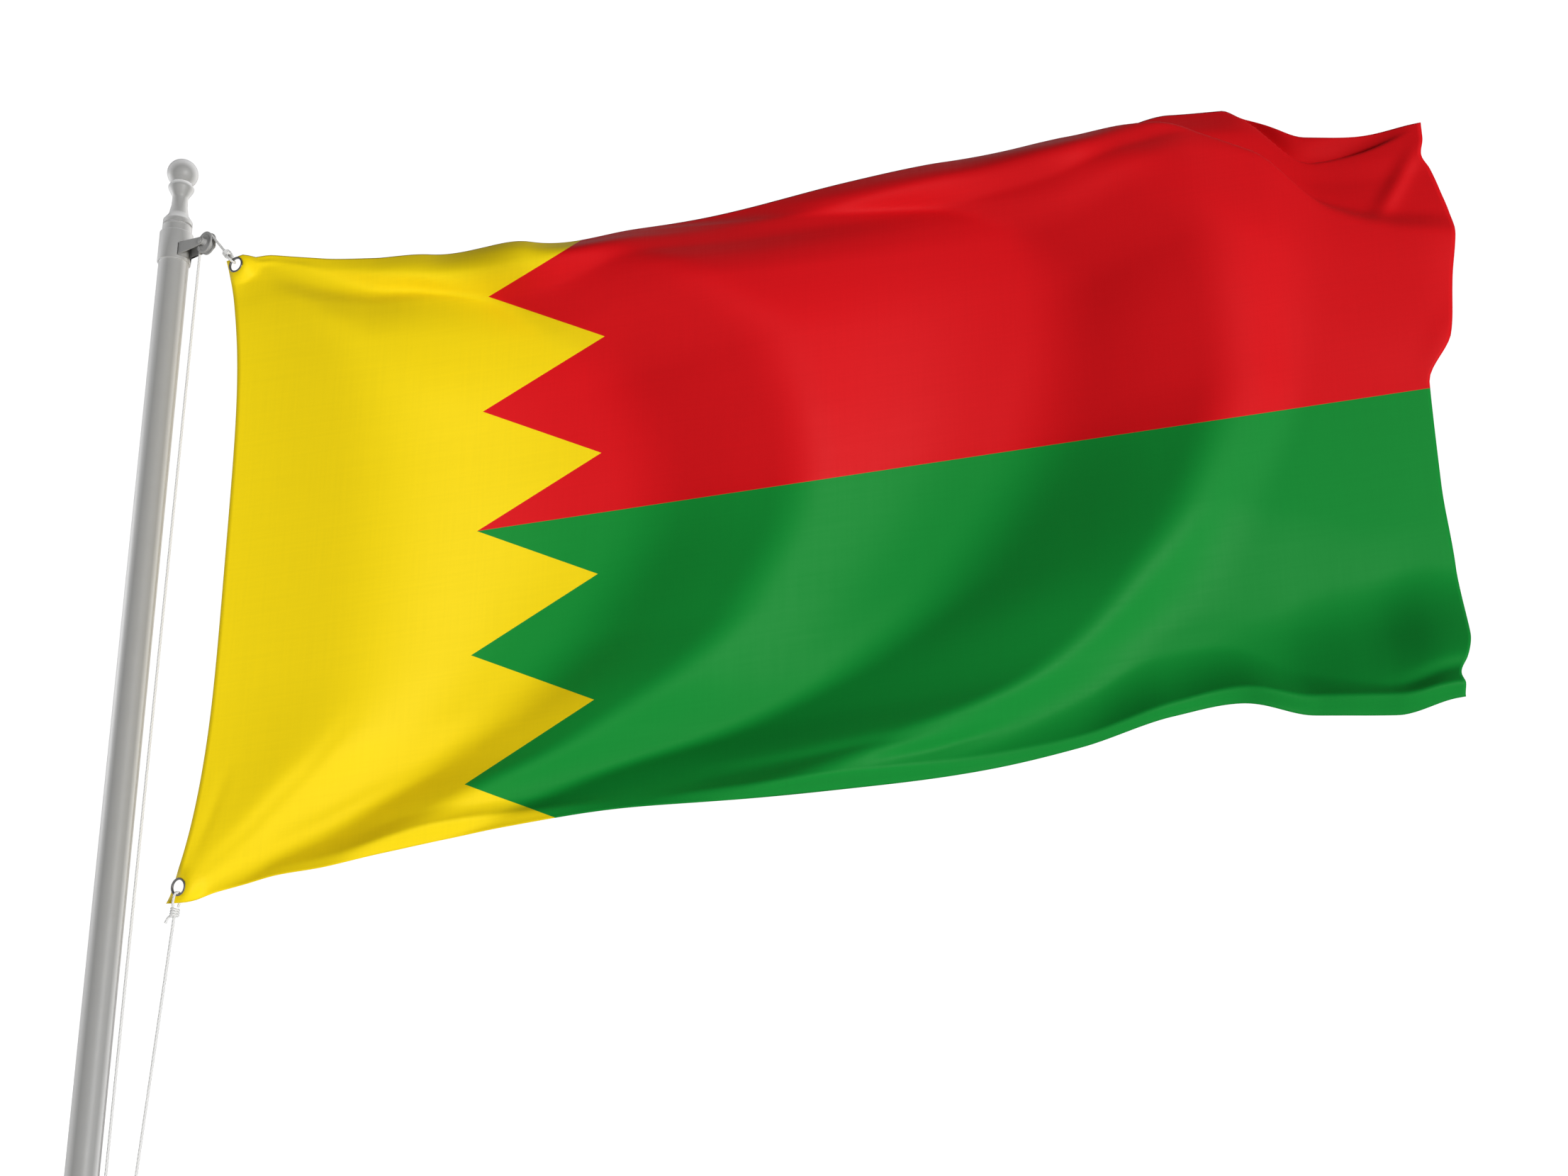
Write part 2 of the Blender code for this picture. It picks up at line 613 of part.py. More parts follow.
def make_tie_arm(collection, cutters):
    """A clamp ring round the pole with a rod standing out of it."""
    bore = POLE_RADIUS + GAP
    top, bottom = ARM_HEIGHT + CLAMP_HEIGHT / 2, ARM_HEIGHT - CLAMP_HEIGHT / 2
    profile = ((bore, top), (CLAMP_RADIUS, top), (CLAMP_RADIUS, bottom), (bore, bottom))
    clamp = turned("tie_arm", profile, collection, "bracket_finish", 48, ring=True)
    start = (bore + CLAMP_RADIUS) / 2
    bm = bmesh.new()
    bmesh.ops.create_cone(
        bm,
        cap_ends=True,
        segments=24,
        radius1=ARM_RADIUS,
        radius2=ARM_RADIUS,
        depth=ARM_REACH - start,
    )
    middle = in_rope_plane((ARM_REACH + start) / 2, ARM_HEIGHT)
    rod = cutter_from(bm, "tie_rod", frame_at(middle, UP, OUTWARD), cutters)
    add_boolean(clamp, rod, "UNION")


def main():
    clear_scene()
    parts = new_collection("city_flag_on_flagpole")
    cutters = new_collection("cutters")
    make_pole(parts)
    make_head_sleeve(parts)
    make_finial(parts)
    make_bracket(parts, cutters)
    make_wheel(parts)
    make_wheel_pin(parts)
    make_tie_arm(parts, cutters)
    make_flag(parts, cutters)
    for name, centre in EYELETS.items():
        make_eyelet(name, centre, parts)
    for name, pull in pulls().items():
        make_loop_and_knot(name, pull, parts)
    make_halyard(parts)


main()
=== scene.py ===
"""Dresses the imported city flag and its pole: cloth, eyelets, halyard, pulley and a plain studio."""

from math import atan2, cos, hypot, pi, radians, sin

import bmesh
import bpy
import numpy as np
from mathutils import Matrix, Vector


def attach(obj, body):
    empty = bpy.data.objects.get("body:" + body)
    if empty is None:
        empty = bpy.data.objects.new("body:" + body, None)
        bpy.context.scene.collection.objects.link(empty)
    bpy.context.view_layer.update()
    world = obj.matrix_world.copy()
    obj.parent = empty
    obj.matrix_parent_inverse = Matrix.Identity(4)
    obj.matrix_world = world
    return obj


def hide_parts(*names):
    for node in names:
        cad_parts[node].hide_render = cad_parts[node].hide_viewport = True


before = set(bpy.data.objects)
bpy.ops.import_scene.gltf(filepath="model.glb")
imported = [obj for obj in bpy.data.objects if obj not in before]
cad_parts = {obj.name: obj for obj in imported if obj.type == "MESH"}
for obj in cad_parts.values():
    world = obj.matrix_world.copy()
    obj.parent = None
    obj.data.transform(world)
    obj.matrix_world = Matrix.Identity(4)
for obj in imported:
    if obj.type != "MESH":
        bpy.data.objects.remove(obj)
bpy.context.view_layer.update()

bl_info = {
    "name": "City flag on flagpole",
    "version": (1, 0, 0),
    "blender": (4, 5, 0),
    "location": "View3D > Sidebar > City Flag",
    "description": "Builds the dressed flag, its halyard and its pole over the packed solids",
    "category": "Object",
}

ROOT, PULLEY = "flag_on_pole", "pulley"

# Sizes shared with the solids, in metres
POLE_RADIUS, POLE_TOP = 0.028, 2.126
SLEEVE_RADIUS, SLEEVE_BOTTOM, SLEEVE_SHOULDER = 0.031, 2.071, 2.133
SLEEVE_NECK_RADIUS, SLEEVE_TOP = 0.0275, 2.149
BALL_RADIUS, BALL_CENTRE, BALL_NECK_RADIUS = 0.0292, 2.263, 0.0195
GAP = 0.0003
ROPE_PLANE_ANGLE = radians(36)
OUTWARD = Vector((cos(ROPE_PLANE_ANGLE), -sin(ROPE_PLANE_ANGLE), 0))
SIDEWAYS = Vector((sin(ROPE_PLANE_ANGLE), cos(ROPE_PLANE_ANGLE), 0))
UP = Vector((0, 0, 1))
PLATE, BRACKET_WIDTH = 0.003, 0.030
WEB_LOW, WEB_HIGH = 2.077, 2.102
WHEEL_REACH, WHEEL_HEIGHT = 0.101, 2.085
WHEEL_RADIUS, WHEEL_HALF_WIDTH, HUB_RADIUS = 0.0215, 0.006, 0.0065
PIN_RADIUS, PIN_HEAD_RADIUS, PIN_HEAD = 0.003, 0.0055, 0.002
ROPE_RADIUS, ROPE_ROUND_WHEEL, GROOVE_CLEARANCE = 0.0025, 0.0185, 0.0004
ARM_HEIGHT, ARM_RADIUS, ARM_REACH = 0.25, 0.007, 0.172
CLAMP_RADIUS, CLAMP_HEIGHT = 0.034, 0.030
HOIST_RUN_REACH, DOWN_RUN_REACH = 0.052, 0.152
TURNS_ON_ARM = 3.5
EYELET_HOLE, EYELET_BARREL, EYELET_FLANGE, EYELET_PLATE = 0.0120, 0.0128, 0.0155, 0.0008
EYELET_TURN = radians(24)
EYELETS = {"upper": Vector((0.161, -0.116, 2.013)), "lower": Vector((0.159, -0.116, 0.869))}
KNOT_DISTANCE, KNOT_HALF_LENGTH = 0.0428, 0.0085
LOOP_ROUTE = (  # along the pull, out of the cloth
    (0.0330, 0.0062),
    (0.0265, 0.0076),
    (0.0185, 0.0072),
    (0.0127, 0.0060),
    (0.0096, 0.0032),
    (0.0088, 0.0),
)

# The finial, with a groove at its foot that the solid does not have
FINIAL_PROFILE = (  # radius, height above the sleeve, from the ball's neck down
    (0.0195, 0.0925),
    (0.0215, 0.0885),
    (0.0240, 0.0840),
    (0.0242, 0.0815),
    (0.0230, 0.0775),
    (0.0165, 0.0655),
    (0.0150, 0.0625),
    (0.0146, 0.0590),
    (0.0150, 0.0440),
    (0.0178, 0.0270),
    (0.0184, 0.0240),
    (0.0250, 0.0140),
    (0.0270, 0.0112),
    (0.0275, 0.0095),
    (0.0275, 0.0031),
    (0.0270, 0.0026),
    (0.0225, 0.0024),
    (0.0225, 0.0),
)

# Sizes of this script alone: slimmer tips on the bracket's ears, knots, and small roundings
EAR_END_RADIUS = 0.0075
KNOT_TURNS, KNOT_STEPS = 3, 12
KNOT_WIDE, KNOT_DEEP = 0.0049, 0.0068
TIED_SHARE = 0.94
BEND_ROUND = 0.0018
HUB_ROUND, HUB_FILLET = 0.0004, 0.0006
FACE_RECESS, RIM_INNER, RIM_OUTER = 0.0012, 0.0050, 0.0042
ROD_ROUND = 0.0015

# The hanging cloth has the folds of the solids. Its edges, the ridge over the middle of its head
# and the flat round each eyelet are fitted more closely here.
FLAT_SIZE = (1.2, 2.4)
HOIST_POWER, FLY_POWER = 4, 8
HEM_POWER, CREASE_END, CREASE_POWER = 1.5, 0.04, 0.7
ROW_CROWDING = 0.55

# The pattern looks straight to an eye in front, so it is laid out on a plane seen from there
EYE = (1.18, -3.03, 0.61)
SIGHT_DEPTH = -0.08
DIVISION_START, DIVISION_HEIGHT, DIVISION_RISE = 0.63, 1.507, 0.158
PATTERN_HEIGHT = 1.17

# Studio: the camera stands at the same eye
CAMERA_TILT, CAMERA_LENS, CAMERA_SENSOR, CAMERA_REACH = radians(105), 39.24, 36, 200
FLOOR_HALF = 60
KEY_PLACE, KEY_TARGET, KEY_SPREAD = (6.4, -7.5, 0.12), (0, 0, 1.6), radians(9)
SIDE_PLACE, SIDE_TARGET, SIDE_SIZE = (-3.2, 0.7, 2.0), (0.0, 0, 1.8), 1.6
SEEN_BACKDROP, FLOOR_SEEN, FLOOR_GLOW = 1.05, 0.75, 0.25

HOIST_X, FLY_X = 0.150, 2.430
HOIST_Y, FLY_Y = -0.116, 0.0
HOIST_CORNER_X, HOIST_BOW, BOW_POWER = 0.140, 0.048, 4
FLAT_NEAR, FLAT_FAR = 0.018, 0.040
EDGES = (  # x, height of the lower edge, height of the upper edge
    (0.13, 0.841, 2.022),
    (0.17, 0.843, 2.031),
    (0.22, 0.861, 2.049),
    (0.27, 0.875, 2.053),
    (0.32, 0.889, 2.051),
    (0.40, 0.902, 2.056),
    (0.50, 0.927, 2.076),
    (0.60, 0.951, 2.083),
    (0.70, 0.972, 2.083),
    (0.90, 1.002, 2.146),
    (1.10, 1.016, 2.203),
    (1.30, 1.040, 2.265),
    (1.50, 1.068, 2.320),
    (1.70, 1.113, 2.358),
    (1.86, 1.165, 2.428),
    (1.98, 1.187, 2.476),
    (2.10, 1.164, 2.480),
    (2.24, 1.162, 2.397),
    (2.34, 1.189, 2.386),
    (2.46, 1.205, 2.397),
)
FLY_EDGE = (  # share of the height, x
    (0.00, 2.355),
    (0.03, 2.350),
    (0.06, 2.371),
    (0.10, 2.392),
    (0.20, 2.410),
    (0.35, 2.398),
    (0.52, 2.396),
    (0.60, 2.448),
    (0.70, 2.467),
    (0.81, 2.486),
    (0.87, 2.473),
    (0.91, 2.461),
    (0.94, 2.447),
    (0.97, 2.454),
    (1.00, 2.455),
)
TURN_HEIGHTS = (0.00, 0.12, 0.30, 0.60, 0.86, 1.00)
FOLD_SLOPES = {  # how fast the cloth falls back across each line, at the turn heights
    "hoist edge": (0.05, 0.05, 0.10, 0.12, 0.10, 0.05),
    "dark 0": (0.00, -0.10, -0.06, -0.04, -0.10, -0.05),
    "light 0": (0.15, 0.28, 0.35, 0.40, 0.40, 0.20),
    "shoulder 0": (0.05, 0.18, 0.15, 0.12, 0.25, 0.10),
    "dark A": (-0.12, -0.20, -0.28, -0.29, -0.38, -0.25),
    "dark A end": (-0.12, -0.18, -0.24, -0.22, -0.28, -0.20),
    "light A": (0.15, 0.22, 0.32, 0.45, 0.40, 0.20),
    "shoulder A": (0.10, 0.18, 0.10, 0.10, 0.22, 0.05),
    "dark B": (-0.12, -0.22, -0.34, -0.30, -0.30, -0.20),
    "dark B end": (-0.12, -0.20, -0.26, -0.18, -0.22, -0.20),
    "light B": (0.15, 0.25, 0.42, 0.48, 0.40, 0.10),
    "shoulder B": (0.00, 0.05, 0.10, 0.12, 0.15, -0.15),
    "plateau": (0.00, 0.00, 0.12, 0.12, 0.08, -0.30),
    "fly": (0.25, 0.25, 0.30, 0.40, 0.05, -0.30),
}
FOLD_HEIGHTS = (0.00, 0.06, 0.12, 0.20, 0.30, 0.50, 0.70, 0.82, 0.90, 0.95, 1.00)
FOLD_LINES = {  # x of each line at the fold heights
    "hoist edge": (0.10, 0.10, 0.10, 0.10, 0.10, 0.10, 0.10, 0.10, 0.10, 0.10, 0.10),
    "dark 0": (0.12, 0.19, 0.26, 0.33, 0.36, 0.37, 0.36, 0.33, 0.25, 0.17, 0.12),
    "light 0": (0.16, 0.30, 0.37, 0.50, 0.57, 0.60, 0.57, 0.46, 0.34, 0.25, 0.16),
    "shoulder 0": (0.20, 0.36, 0.50, 0.61, 0.72, 0.84, 0.80, 0.71, 0.60, 0.33, 0.20),
    "dark A": (0.27, 0.47, 0.61, 0.79, 0.92, 1.02, 0.94, 0.79, 0.66, 0.44, 0.28),
    "dark A end": (0.38, 0.56, 0.76, 0.93, 1.05, 1.15, 1.08, 0.95, 0.83, 0.70, 0.50),
    "light A": (0.50, 0.69, 0.88, 1.05, 1.18, 1.29, 1.24, 1.10, 0.96, 0.86, 0.74),
    "shoulder A": (0.56, 0.78, 1.02, 1.24, 1.40, 1.56, 1.62, 1.60, 1.46, 1.12, 0.86),
    "dark B": (0.67, 0.90, 1.17, 1.42, 1.61, 1.76, 1.79, 1.69, 1.53, 1.32, 1.10),
    "dark B end": (1.00, 1.31, 1.58, 1.73, 1.84, 1.94, 1.91, 1.82, 1.71, 1.60, 1.45),
    "light B": (1.20, 1.48, 1.69, 1.86, 1.98, 2.09, 2.09, 2.00, 1.88, 1.79, 1.66),
    "shoulder B": (1.50, 1.72, 1.92, 2.03, 2.08, 2.18, 2.22, 2.16, 2.10, 2.00, 1.90),
    "plateau": (2.20, 2.30, 2.32, 2.34, 2.36, 2.38, 2.38, 2.38, 2.36, 2.34, 2.30),
    "fly": (2.48, 2.50, 2.50, 2.50, 2.50, 2.50, 2.50, 2.54, 2.54, 2.54, 2.54),
}
RIDGES = {  # slope back above the line, softness, x where it starts, is full, fades and ends
    "over the hoist": (1.00, 0.008, 0.18, 0.28, 0.50, 0.70),
    "over the middle": (0.60, 0.014, 0.72, 0.90, 1.50, 1.75),
}
RIDGE_LINES = {  # x, share of the height
    "over the hoist": ((0.20, 0.985), (0.30, 0.976), (0.42, 0.960), (0.53, 0.930), (0.70, 0.88)),
    "over the middle": ((0.80, 0.990), (1.10, 0.955), (1.30, 0.935), (1.50, 0.905), (1.75, 0.86)),
}
HEAD_TURN = (  # x, share of the height above which the cloth goes back, how far
    (1.55, 1.020, 0.000),
    (1.72, 0.988, 0.030),
    (1.85, 0.955, 0.065),
    (1.98, 0.905, 0.085),
    (2.10, 0.865, 0.075),
    (2.22, 0.830, 0.055),
    (2.36, 0.795, 0.030),
    (2.50, 0.775, 0.015),
)
FOOT_TURN = (  # x, share of the height below which the cloth comes forward, how far
    (1.80, 0.050, 0.000),
    (1.92, 0.090, 0.015),
    (2.06, 0.150, 0.050),
    (2.20, 0.205, 0.085),
    (2.33, 0.225, 0.110),
    (2.50, 0.200, 0.125),
)
HEAD_TURN_WIDTH, FOOT_TURN_WIDTH = 0.06, 0.24
HEM = (  # x, share where the cloth comes forward, share of the crease, depth there, depth under it
    (0.30, 0.030, 0.012, 0.000, 0.000),
    (0.45, 0.045, 0.018, 0.006, 0.006),
    (0.60, 0.050, 0.026, 0.016, 0.014),
    (0.78, 0.040, 0.018, 0.006, 0.006),
    (0.92, 0.030, 0.012, 0.000, 0.000),
    (1.10, 0.040, 0.020, 0.008, 0.010),
    (1.35, 0.045, 0.022, 0.012, 0.012),
    (1.55, 0.050, 0.020, 0.012, 0.010),
    (1.70, 0.070, 0.016, 0.024, 0.010),
    (1.85, 0.095, 0.018, 0.050, 0.016),
    (2.00, 0.085, 0.022, 0.050, 0.022),
    (2.12, 0.060, 0.026, 0.026, 0.026),
    (2.25, 0.045, 0.028, 0.014, 0.028),
    (2.36, 0.045, 0.020, 0.016, 0.016),
    (2.46, 0.050, 0.012, 0.018, 0.010),
)
LAPS = (  # depth back, width of the step, length of the return, its line
    (
        0.030,
        0.012,
        0.060,
        ((2.08, 1.000), (2.14, 0.972), (2.22, 0.940), (2.30, 0.952), (2.44, 0.985)),
    ),
)
CREASES = (  # depth back, half width, then its x and share of the height along its line
    (0.0030, 0.008, ((0.165, 0.985), (0.175, 0.965), (0.185, 0.945))),
    (-0.0030, 0.006, ((0.172, 0.995), (0.20, 0.985), (0.23, 0.984))),
    (0.0025, 0.012, ((0.195, 0.035), (0.27, 0.080), (0.36, 0.15), (0.43, 0.22))),
    (-0.0025, 0.014, ((0.200, 0.022), (0.31, 0.050), (0.44, 0.09), (0.62, 0.14))),
    (0.0020, 0.010, ((0.170, 0.050), (0.20, 0.11), (0.225, 0.18))),
    (0.0050, 0.012, ((1.05, 0.045), (1.22, 0.052), (1.38, 0.060), (1.55, 0.085))),
    (0.0040, 0.010, ((1.30, 0.030), (1.44, 0.040), (1.58, 0.060))),
    (-0.0080, 0.016, ((2.44, 0.955), (2.40, 0.900), (2.34, 0.820))),
    (0.0060, 0.014, ((2.46, 0.045), (2.36, 0.050), (2.24, 0.045))),
    (-0.0040, 0.030, ((2.50, 0.66), (2.44, 0.60), (2.40, 0.53))),
)


# Settings a user would change


def colour_property(name, description, default):
    return bpy.props.FloatVectorProperty(
        name=name, description=description, default=default, subtype="COLOR", size=3, min=0, max=1
    )


def length_property(name, description, default):
    return bpy.props.FloatProperty(
        name=name, description=description, default=default, unit="LENGTH", precision=4, min=0.00001
    )


class FlagClothSettings(bpy.types.PropertyGroup):
    """Cloth, colours and pattern of the flag."""

    hoist_colour: colour_property(
        "Hoist panel", "Colour of the toothed hoist panel", (0.97, 0.72, 0.006)
    )
    upper_colour: colour_property("Upper field", "Colour of the upper field", (0.72, 0.006, 0.010))
    lower_colour: colour_property("Lower field", "Colour of the lower field", (0.006, 0.27, 0.035))
    thickness: length_property("Cloth thickness", "Thickness of the cloth", 0.0008)
    thread_pitch: length_property("Thread pitch", "Distance between two threads", 0.0009)
    tooth_root: length_property("Tooth root", "X of the roots of the teeth", 0.6265)
    tooth_length: length_property("Tooth length", "From the root of a tooth to its tip", 0.220)
    tooth_share: bpy.props.FloatProperty(
        name="Tooth width", description="Width of a tooth, as a share of the hoist", default=0.196
    )
    columns: bpy.props.IntProperty(
        name="Columns", description="Cells along the cloth", default=280, min=40, max=300
    )
    rows: bpy.props.IntProperty(
        name="Rows", description="Cells up the cloth", default=144, min=20, max=160
    )


class PoleSettings(bpy.types.PropertyGroup):
    """Finish of the pole and its fittings."""

    pole_colour: colour_property("Pole", "Colour of the pole and finial", (0.35, 0.35, 0.345))
    bracket_colour: colour_property(
        "Bracket", "Colour of the bracket and wheel", (0.37, 0.37, 0.365)
    )
    eyelet_colour: colour_property("Eyelets", "Colour of the eyelets", (0.24, 0.24, 0.245))
    edge_round: length_property("Edge rounding", "Radius on the edges of plates", 0.0006)


class RopeSettings(bpy.types.PropertyGroup):
    """Lay and colour of the halyard."""

    rope_colour: colour_property("Rope", "Colour of the halyard", (0.86, 0.86, 0.85))
    lay_length: length_property("Lay", "Length in which a strand goes once round", 0.020)
    ring_step: length_property("Step", "Distance between two rings of the rope's mesh", 0.0015)
    groove: bpy.props.FloatProperty(
        name="Groove", description="Depth between strands, as a share of the radius", default=0.16
    )


class StudioSettings(bpy.types.PropertyGroup):
    """Floor, light and camera."""

    floor_colour: colour_property("Floor", "Colour of the floor", (0.92, 0.92, 0.92))
    key_strength: bpy.props.FloatProperty(
        name="Key light", description="Strength of the main light", default=2.45
    )
    rim_power: bpy.props.FloatProperty(
        name="Side light",
        description="Power of the light from the left",
        default=45.0,
        unit="POWER",
    )
    sky_strength: bpy.props.FloatProperty(
        name="Fill", description="Strength of the light from all round", default=0.09
    )
    back_strength: bpy.props.FloatProperty(
        name="Back fill", description="Strength of the light from behind the flag", default=0.60
    )


SETTINGS = {
    "flag_cloth": FlagClothSettings,
    "flag_pole": PoleSettings,
    "flag_rope": RopeSettings,
    "flag_studio": StudioSettings,
}


# Shared shape tools


def frame_at(point, x_axis, z_axis):
    """The matrix that puts a piece at a point, with its X and Z along these directions."""
    z = z_axis.normalized()
    y = z.cross(x_axis).normalized()
    return Matrix.Translation(point) @ Matrix((y.cross(z), y, z)).transposed().to_4x4()


def in_rope_plane(reach, height, aside=0.0):
    return OUTWARD * reach + UP * height + SIDEWAYS * aside


def smooth_curve(places, values, at):
    """A smooth line through (place, value) pairs that never overshoots them."""
    places, values = np.asarray(places, float), np.asarray(values, float)
    steps = np.diff(places)
    slopes = np.diff(values) / steps
    tangents = np.concatenate([slopes[:1], np.zeros(len(steps) - 1), slopes[-1:]])
    for k in range(1, len(steps)):
        if slopes[k - 1] * slopes[k] > 0:
            tangents[k] = 2 * slopes[k - 1] * slopes[k] / (slopes[k - 1] + slopes[k])
    k = np.clip(np.searchsorted(places, at, side="right") - 1, 0, len(steps) - 1)
    t = np.clip((at - places[k]) / steps[k], 0, 1)
    ends = (2 * t**3 - 3 * t**2 + 1) * values[k] + (3 * t**2 - 2 * t**3) * values[k + 1]
    leaning = (t**3 - 2 * t**2 + t) * tangents[k] + (t**3 - t**2) * tangents[k + 1]
    return ends + steps[k] * leaning


def soft_step(t):
    return t * t * (3 - 2 * t)


def piece_from(bm, name, material, body, slot, *nodes):
    """Ends a piece: its mesh, finish, body and the solids that it stands for."""
    mesh = bpy.data.meshes.new(name)
    bm.to_mesh(mesh)
    bm.free()
    mesh.materials.append(material)
    mesh.shade_smooth()
    piece = bpy.data.objects.new(name, mesh)
    bpy.context.scene.collection.objects.link(piece)
    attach(piece, body)
    if nodes:
        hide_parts(*nodes)
    return piece


def spun(profile, steps, ring=False):
    """A profile of (radius, height) spun about Z, with its faces turned outwards."""
    bm = bmesh.new()
    verts = [bm.verts.new((radius, 0, height)) for radius, height in profile]
    edges = [bm.edges.new(pair) for pair in zip(verts, verts[1:])]
    if ring:
        edges.append(bm.edges.new((verts[-1], verts[0])))
    bmesh.ops.spin(
        bm,
        geom=verts + edges,
        cent=(0, 0, 0),
        axis=(0, 0, 1),
        angle=2 * pi,
        steps=steps,
        use_merge=True,
        use_duplicate=False,
    )
    bmesh.ops.remove_doubles(bm, verts=bm.verts, dist=0.000001)
    bmesh.ops.recalc_face_normals(bm, faces=bm.faces)
    return bm


def sharpen(piece, degrees=32):
    piece.data.set_sharp_from_angle(angle=radians(degrees))
    return piece


def arc(centre, radius, start, end, steps):
    angles = [start + (end - start) * step / steps for step in range(steps + 1)]
    return [(centre[0] + radius * cos(a), centre[1] + radius * sin(a)) for a in angles]


def along_path(points, step):
    """Points a set distance apart on a smooth line through these points."""
    points = np.array([tuple(point) for point in points])
    before = 2 * points[0] - points[1]
    after = 2 * points[-1] - points[-2]
    padded = np.vstack([before, points, after])
    fine = []
    for k in range(1, len(padded) - 2):
        a, b, c, d = padded[k - 1 : k + 3]
        count = max(2, int(np.linalg.norm(c - b) / (step / 3)))
        t = np.arange(count)[:, None] / count
        curve = 2 * b + (c - a) * t + (2 * a - 5 * b + 4 * c - d) * t**2
        fine.append((curve + (3 * b - a - 3 * c + d) * t**3) / 2)
    fine = np.vstack([*fine, points[-1:]])
    travelled = np.concatenate([[0], np.linalg.norm(np.diff(fine, axis=0), axis=1).cumsum()])
    wanted = np.linspace(0, travelled[-1], max(2, round(travelled[-1] / step)) + 1)
    return np.stack([np.interp(wanted, travelled, fine[:, axis]) for axis in range(3)], 1)


def path_frames(path):
    """Two directions across a path at each point, carried along it without twist."""
    tangents = np.gradient(path, axis=0)
    tangents /= np.linalg.norm(tangents, axis=1)[:, None]
    across = np.cross(tangents[0], (0.3, 0.5, 0.8))
    firsts = np.empty_like(path)
    for k, tangent in enumerate(tangents):
        across = across - tangent * across.dot(tangent)
        across /= np.linalg.norm(across)
        firsts[k] = across
    return firsts, np.cross(tangents, firsts)


def laid_rope(path, radius, lay, groove, sides=12):
    """A three-strand rope: a grid of cells wrapped round a path, its rows along the strands."""
    rings = len(path) - 1
    bm = bmesh.new()
    uv_layer = bm.loops.layers.uv.new("UVMap")
    bmesh.ops.create_grid(bm, x_segments=sides, y_segments=rings, size=0.5, calc_uvs=True)
    shares = np.array([vert.co[:2] for vert in bm.verts]) + 0.5
    row = np.rint(shares[:, 1] * rings).astype(int)
    spacing = np.linalg.norm(np.diff(path, axis=0), axis=1)
    travelled = np.concatenate([[0], spacing.cumsum()])
    twist = 2 * pi * travelled[row] / lay
    strand = 2 * pi * shares[:, 0]
    first, second = path_frames(path)
    swell = radius * (1 - groove + groove * np.abs(np.cos(1.5 * strand)))
    angle = strand + twist
    points = path[row] + first[row] * (swell * np.cos(angle))[:, None]
    points += second[row] * (swell * np.sin(angle))[:, None]
    place_of = {}
    for vert, point, share, at in zip(bm.verts, points, shares, travelled[row]):
        place_of[vert.index] = (share[0], at / lay)
        vert.co = point
    for face in bm.faces:
        for loop in face.loops:
            loop[uv_layer].uv = place_of[loop.vert.index]
    bmesh.ops.remove_doubles(bm, verts=bm.verts, dist=radius * 0.01)
    ends = [edge for edge in bm.edges if edge.is_boundary]
    bmesh.ops.holes_fill(bm, edges=ends, sides=sides + 1)
    bmesh.ops.recalc_face_normals(bm, faces=bm.faces)
    return bm


# Shared finishes


def new_group(name, inputs, outputs):
    """A shader node group with these sockets."""
    group = bpy.data.node_groups.new(name, "ShaderNodeTree")
    for label, kind, default in inputs:
        socket = group.interface.new_socket(name=label, in_out="INPUT", socket_type=kind)
        if default is not None:
            socket.default_value = default
    for label, kind in outputs:
        group.interface.new_socket(name=label, in_out="OUTPUT", socket_type=kind)
    return group


class Wiring:
    """Adds nodes to a tree and links them."""

    def __init__(self, tree):
        self.tree = tree

    def node(self, kind, **settings):
        made = self.tree.nodes.new(kind)
        for name, value in settings.items():
            setattr(made, name, value)
        return made

    def link(self, source, target):
        self.tree.links.new(source, target)

    def feed(self, socket, value):
        if isinstance(value, bpy.types.NodeSocket):
            self.link(value, socket)
        else:
            socket.default_value = value

    def maths(self, operation, *values, clamp=False):
        made = self.node("ShaderNodeMath", operation=operation, use_clamp=clamp)
        for socket, value in zip(made.inputs, values):
            self.feed(socket, value)
        return made.outputs[0]

    def mix(self, share, first, second):
        made = self.node("ShaderNodeMix", data_type="RGBA")
        self.feed(made.inputs["Factor"], share)
        self.feed(made.inputs["A"], first)
        self.feed(made.inputs["B"], second)
        return made.outputs["Result"]

    def blend(self, value, low, high, first, second):
        made = self.node("ShaderNodeMapRange")
        for label, number in (
            ("Value", value),
            ("From Min", low),
            ("From Max", high),
            ("To Min", first),
            ("To Max", second),
        ):
            self.feed(made.inputs[label], number)
        return made.outputs[0]

    def noise(self, vector, scale, detail=3.0, roughness=0.5):
        made = self.node("ShaderNodeTexNoise")
        self.feed(made.inputs["Vector"], vector)
        self.feed(made.inputs["Scale"], scale)
        made.inputs["Detail"].default_value = detail
        made.inputs["Roughness"].default_value = roughness
        return made.outputs["Fac"]


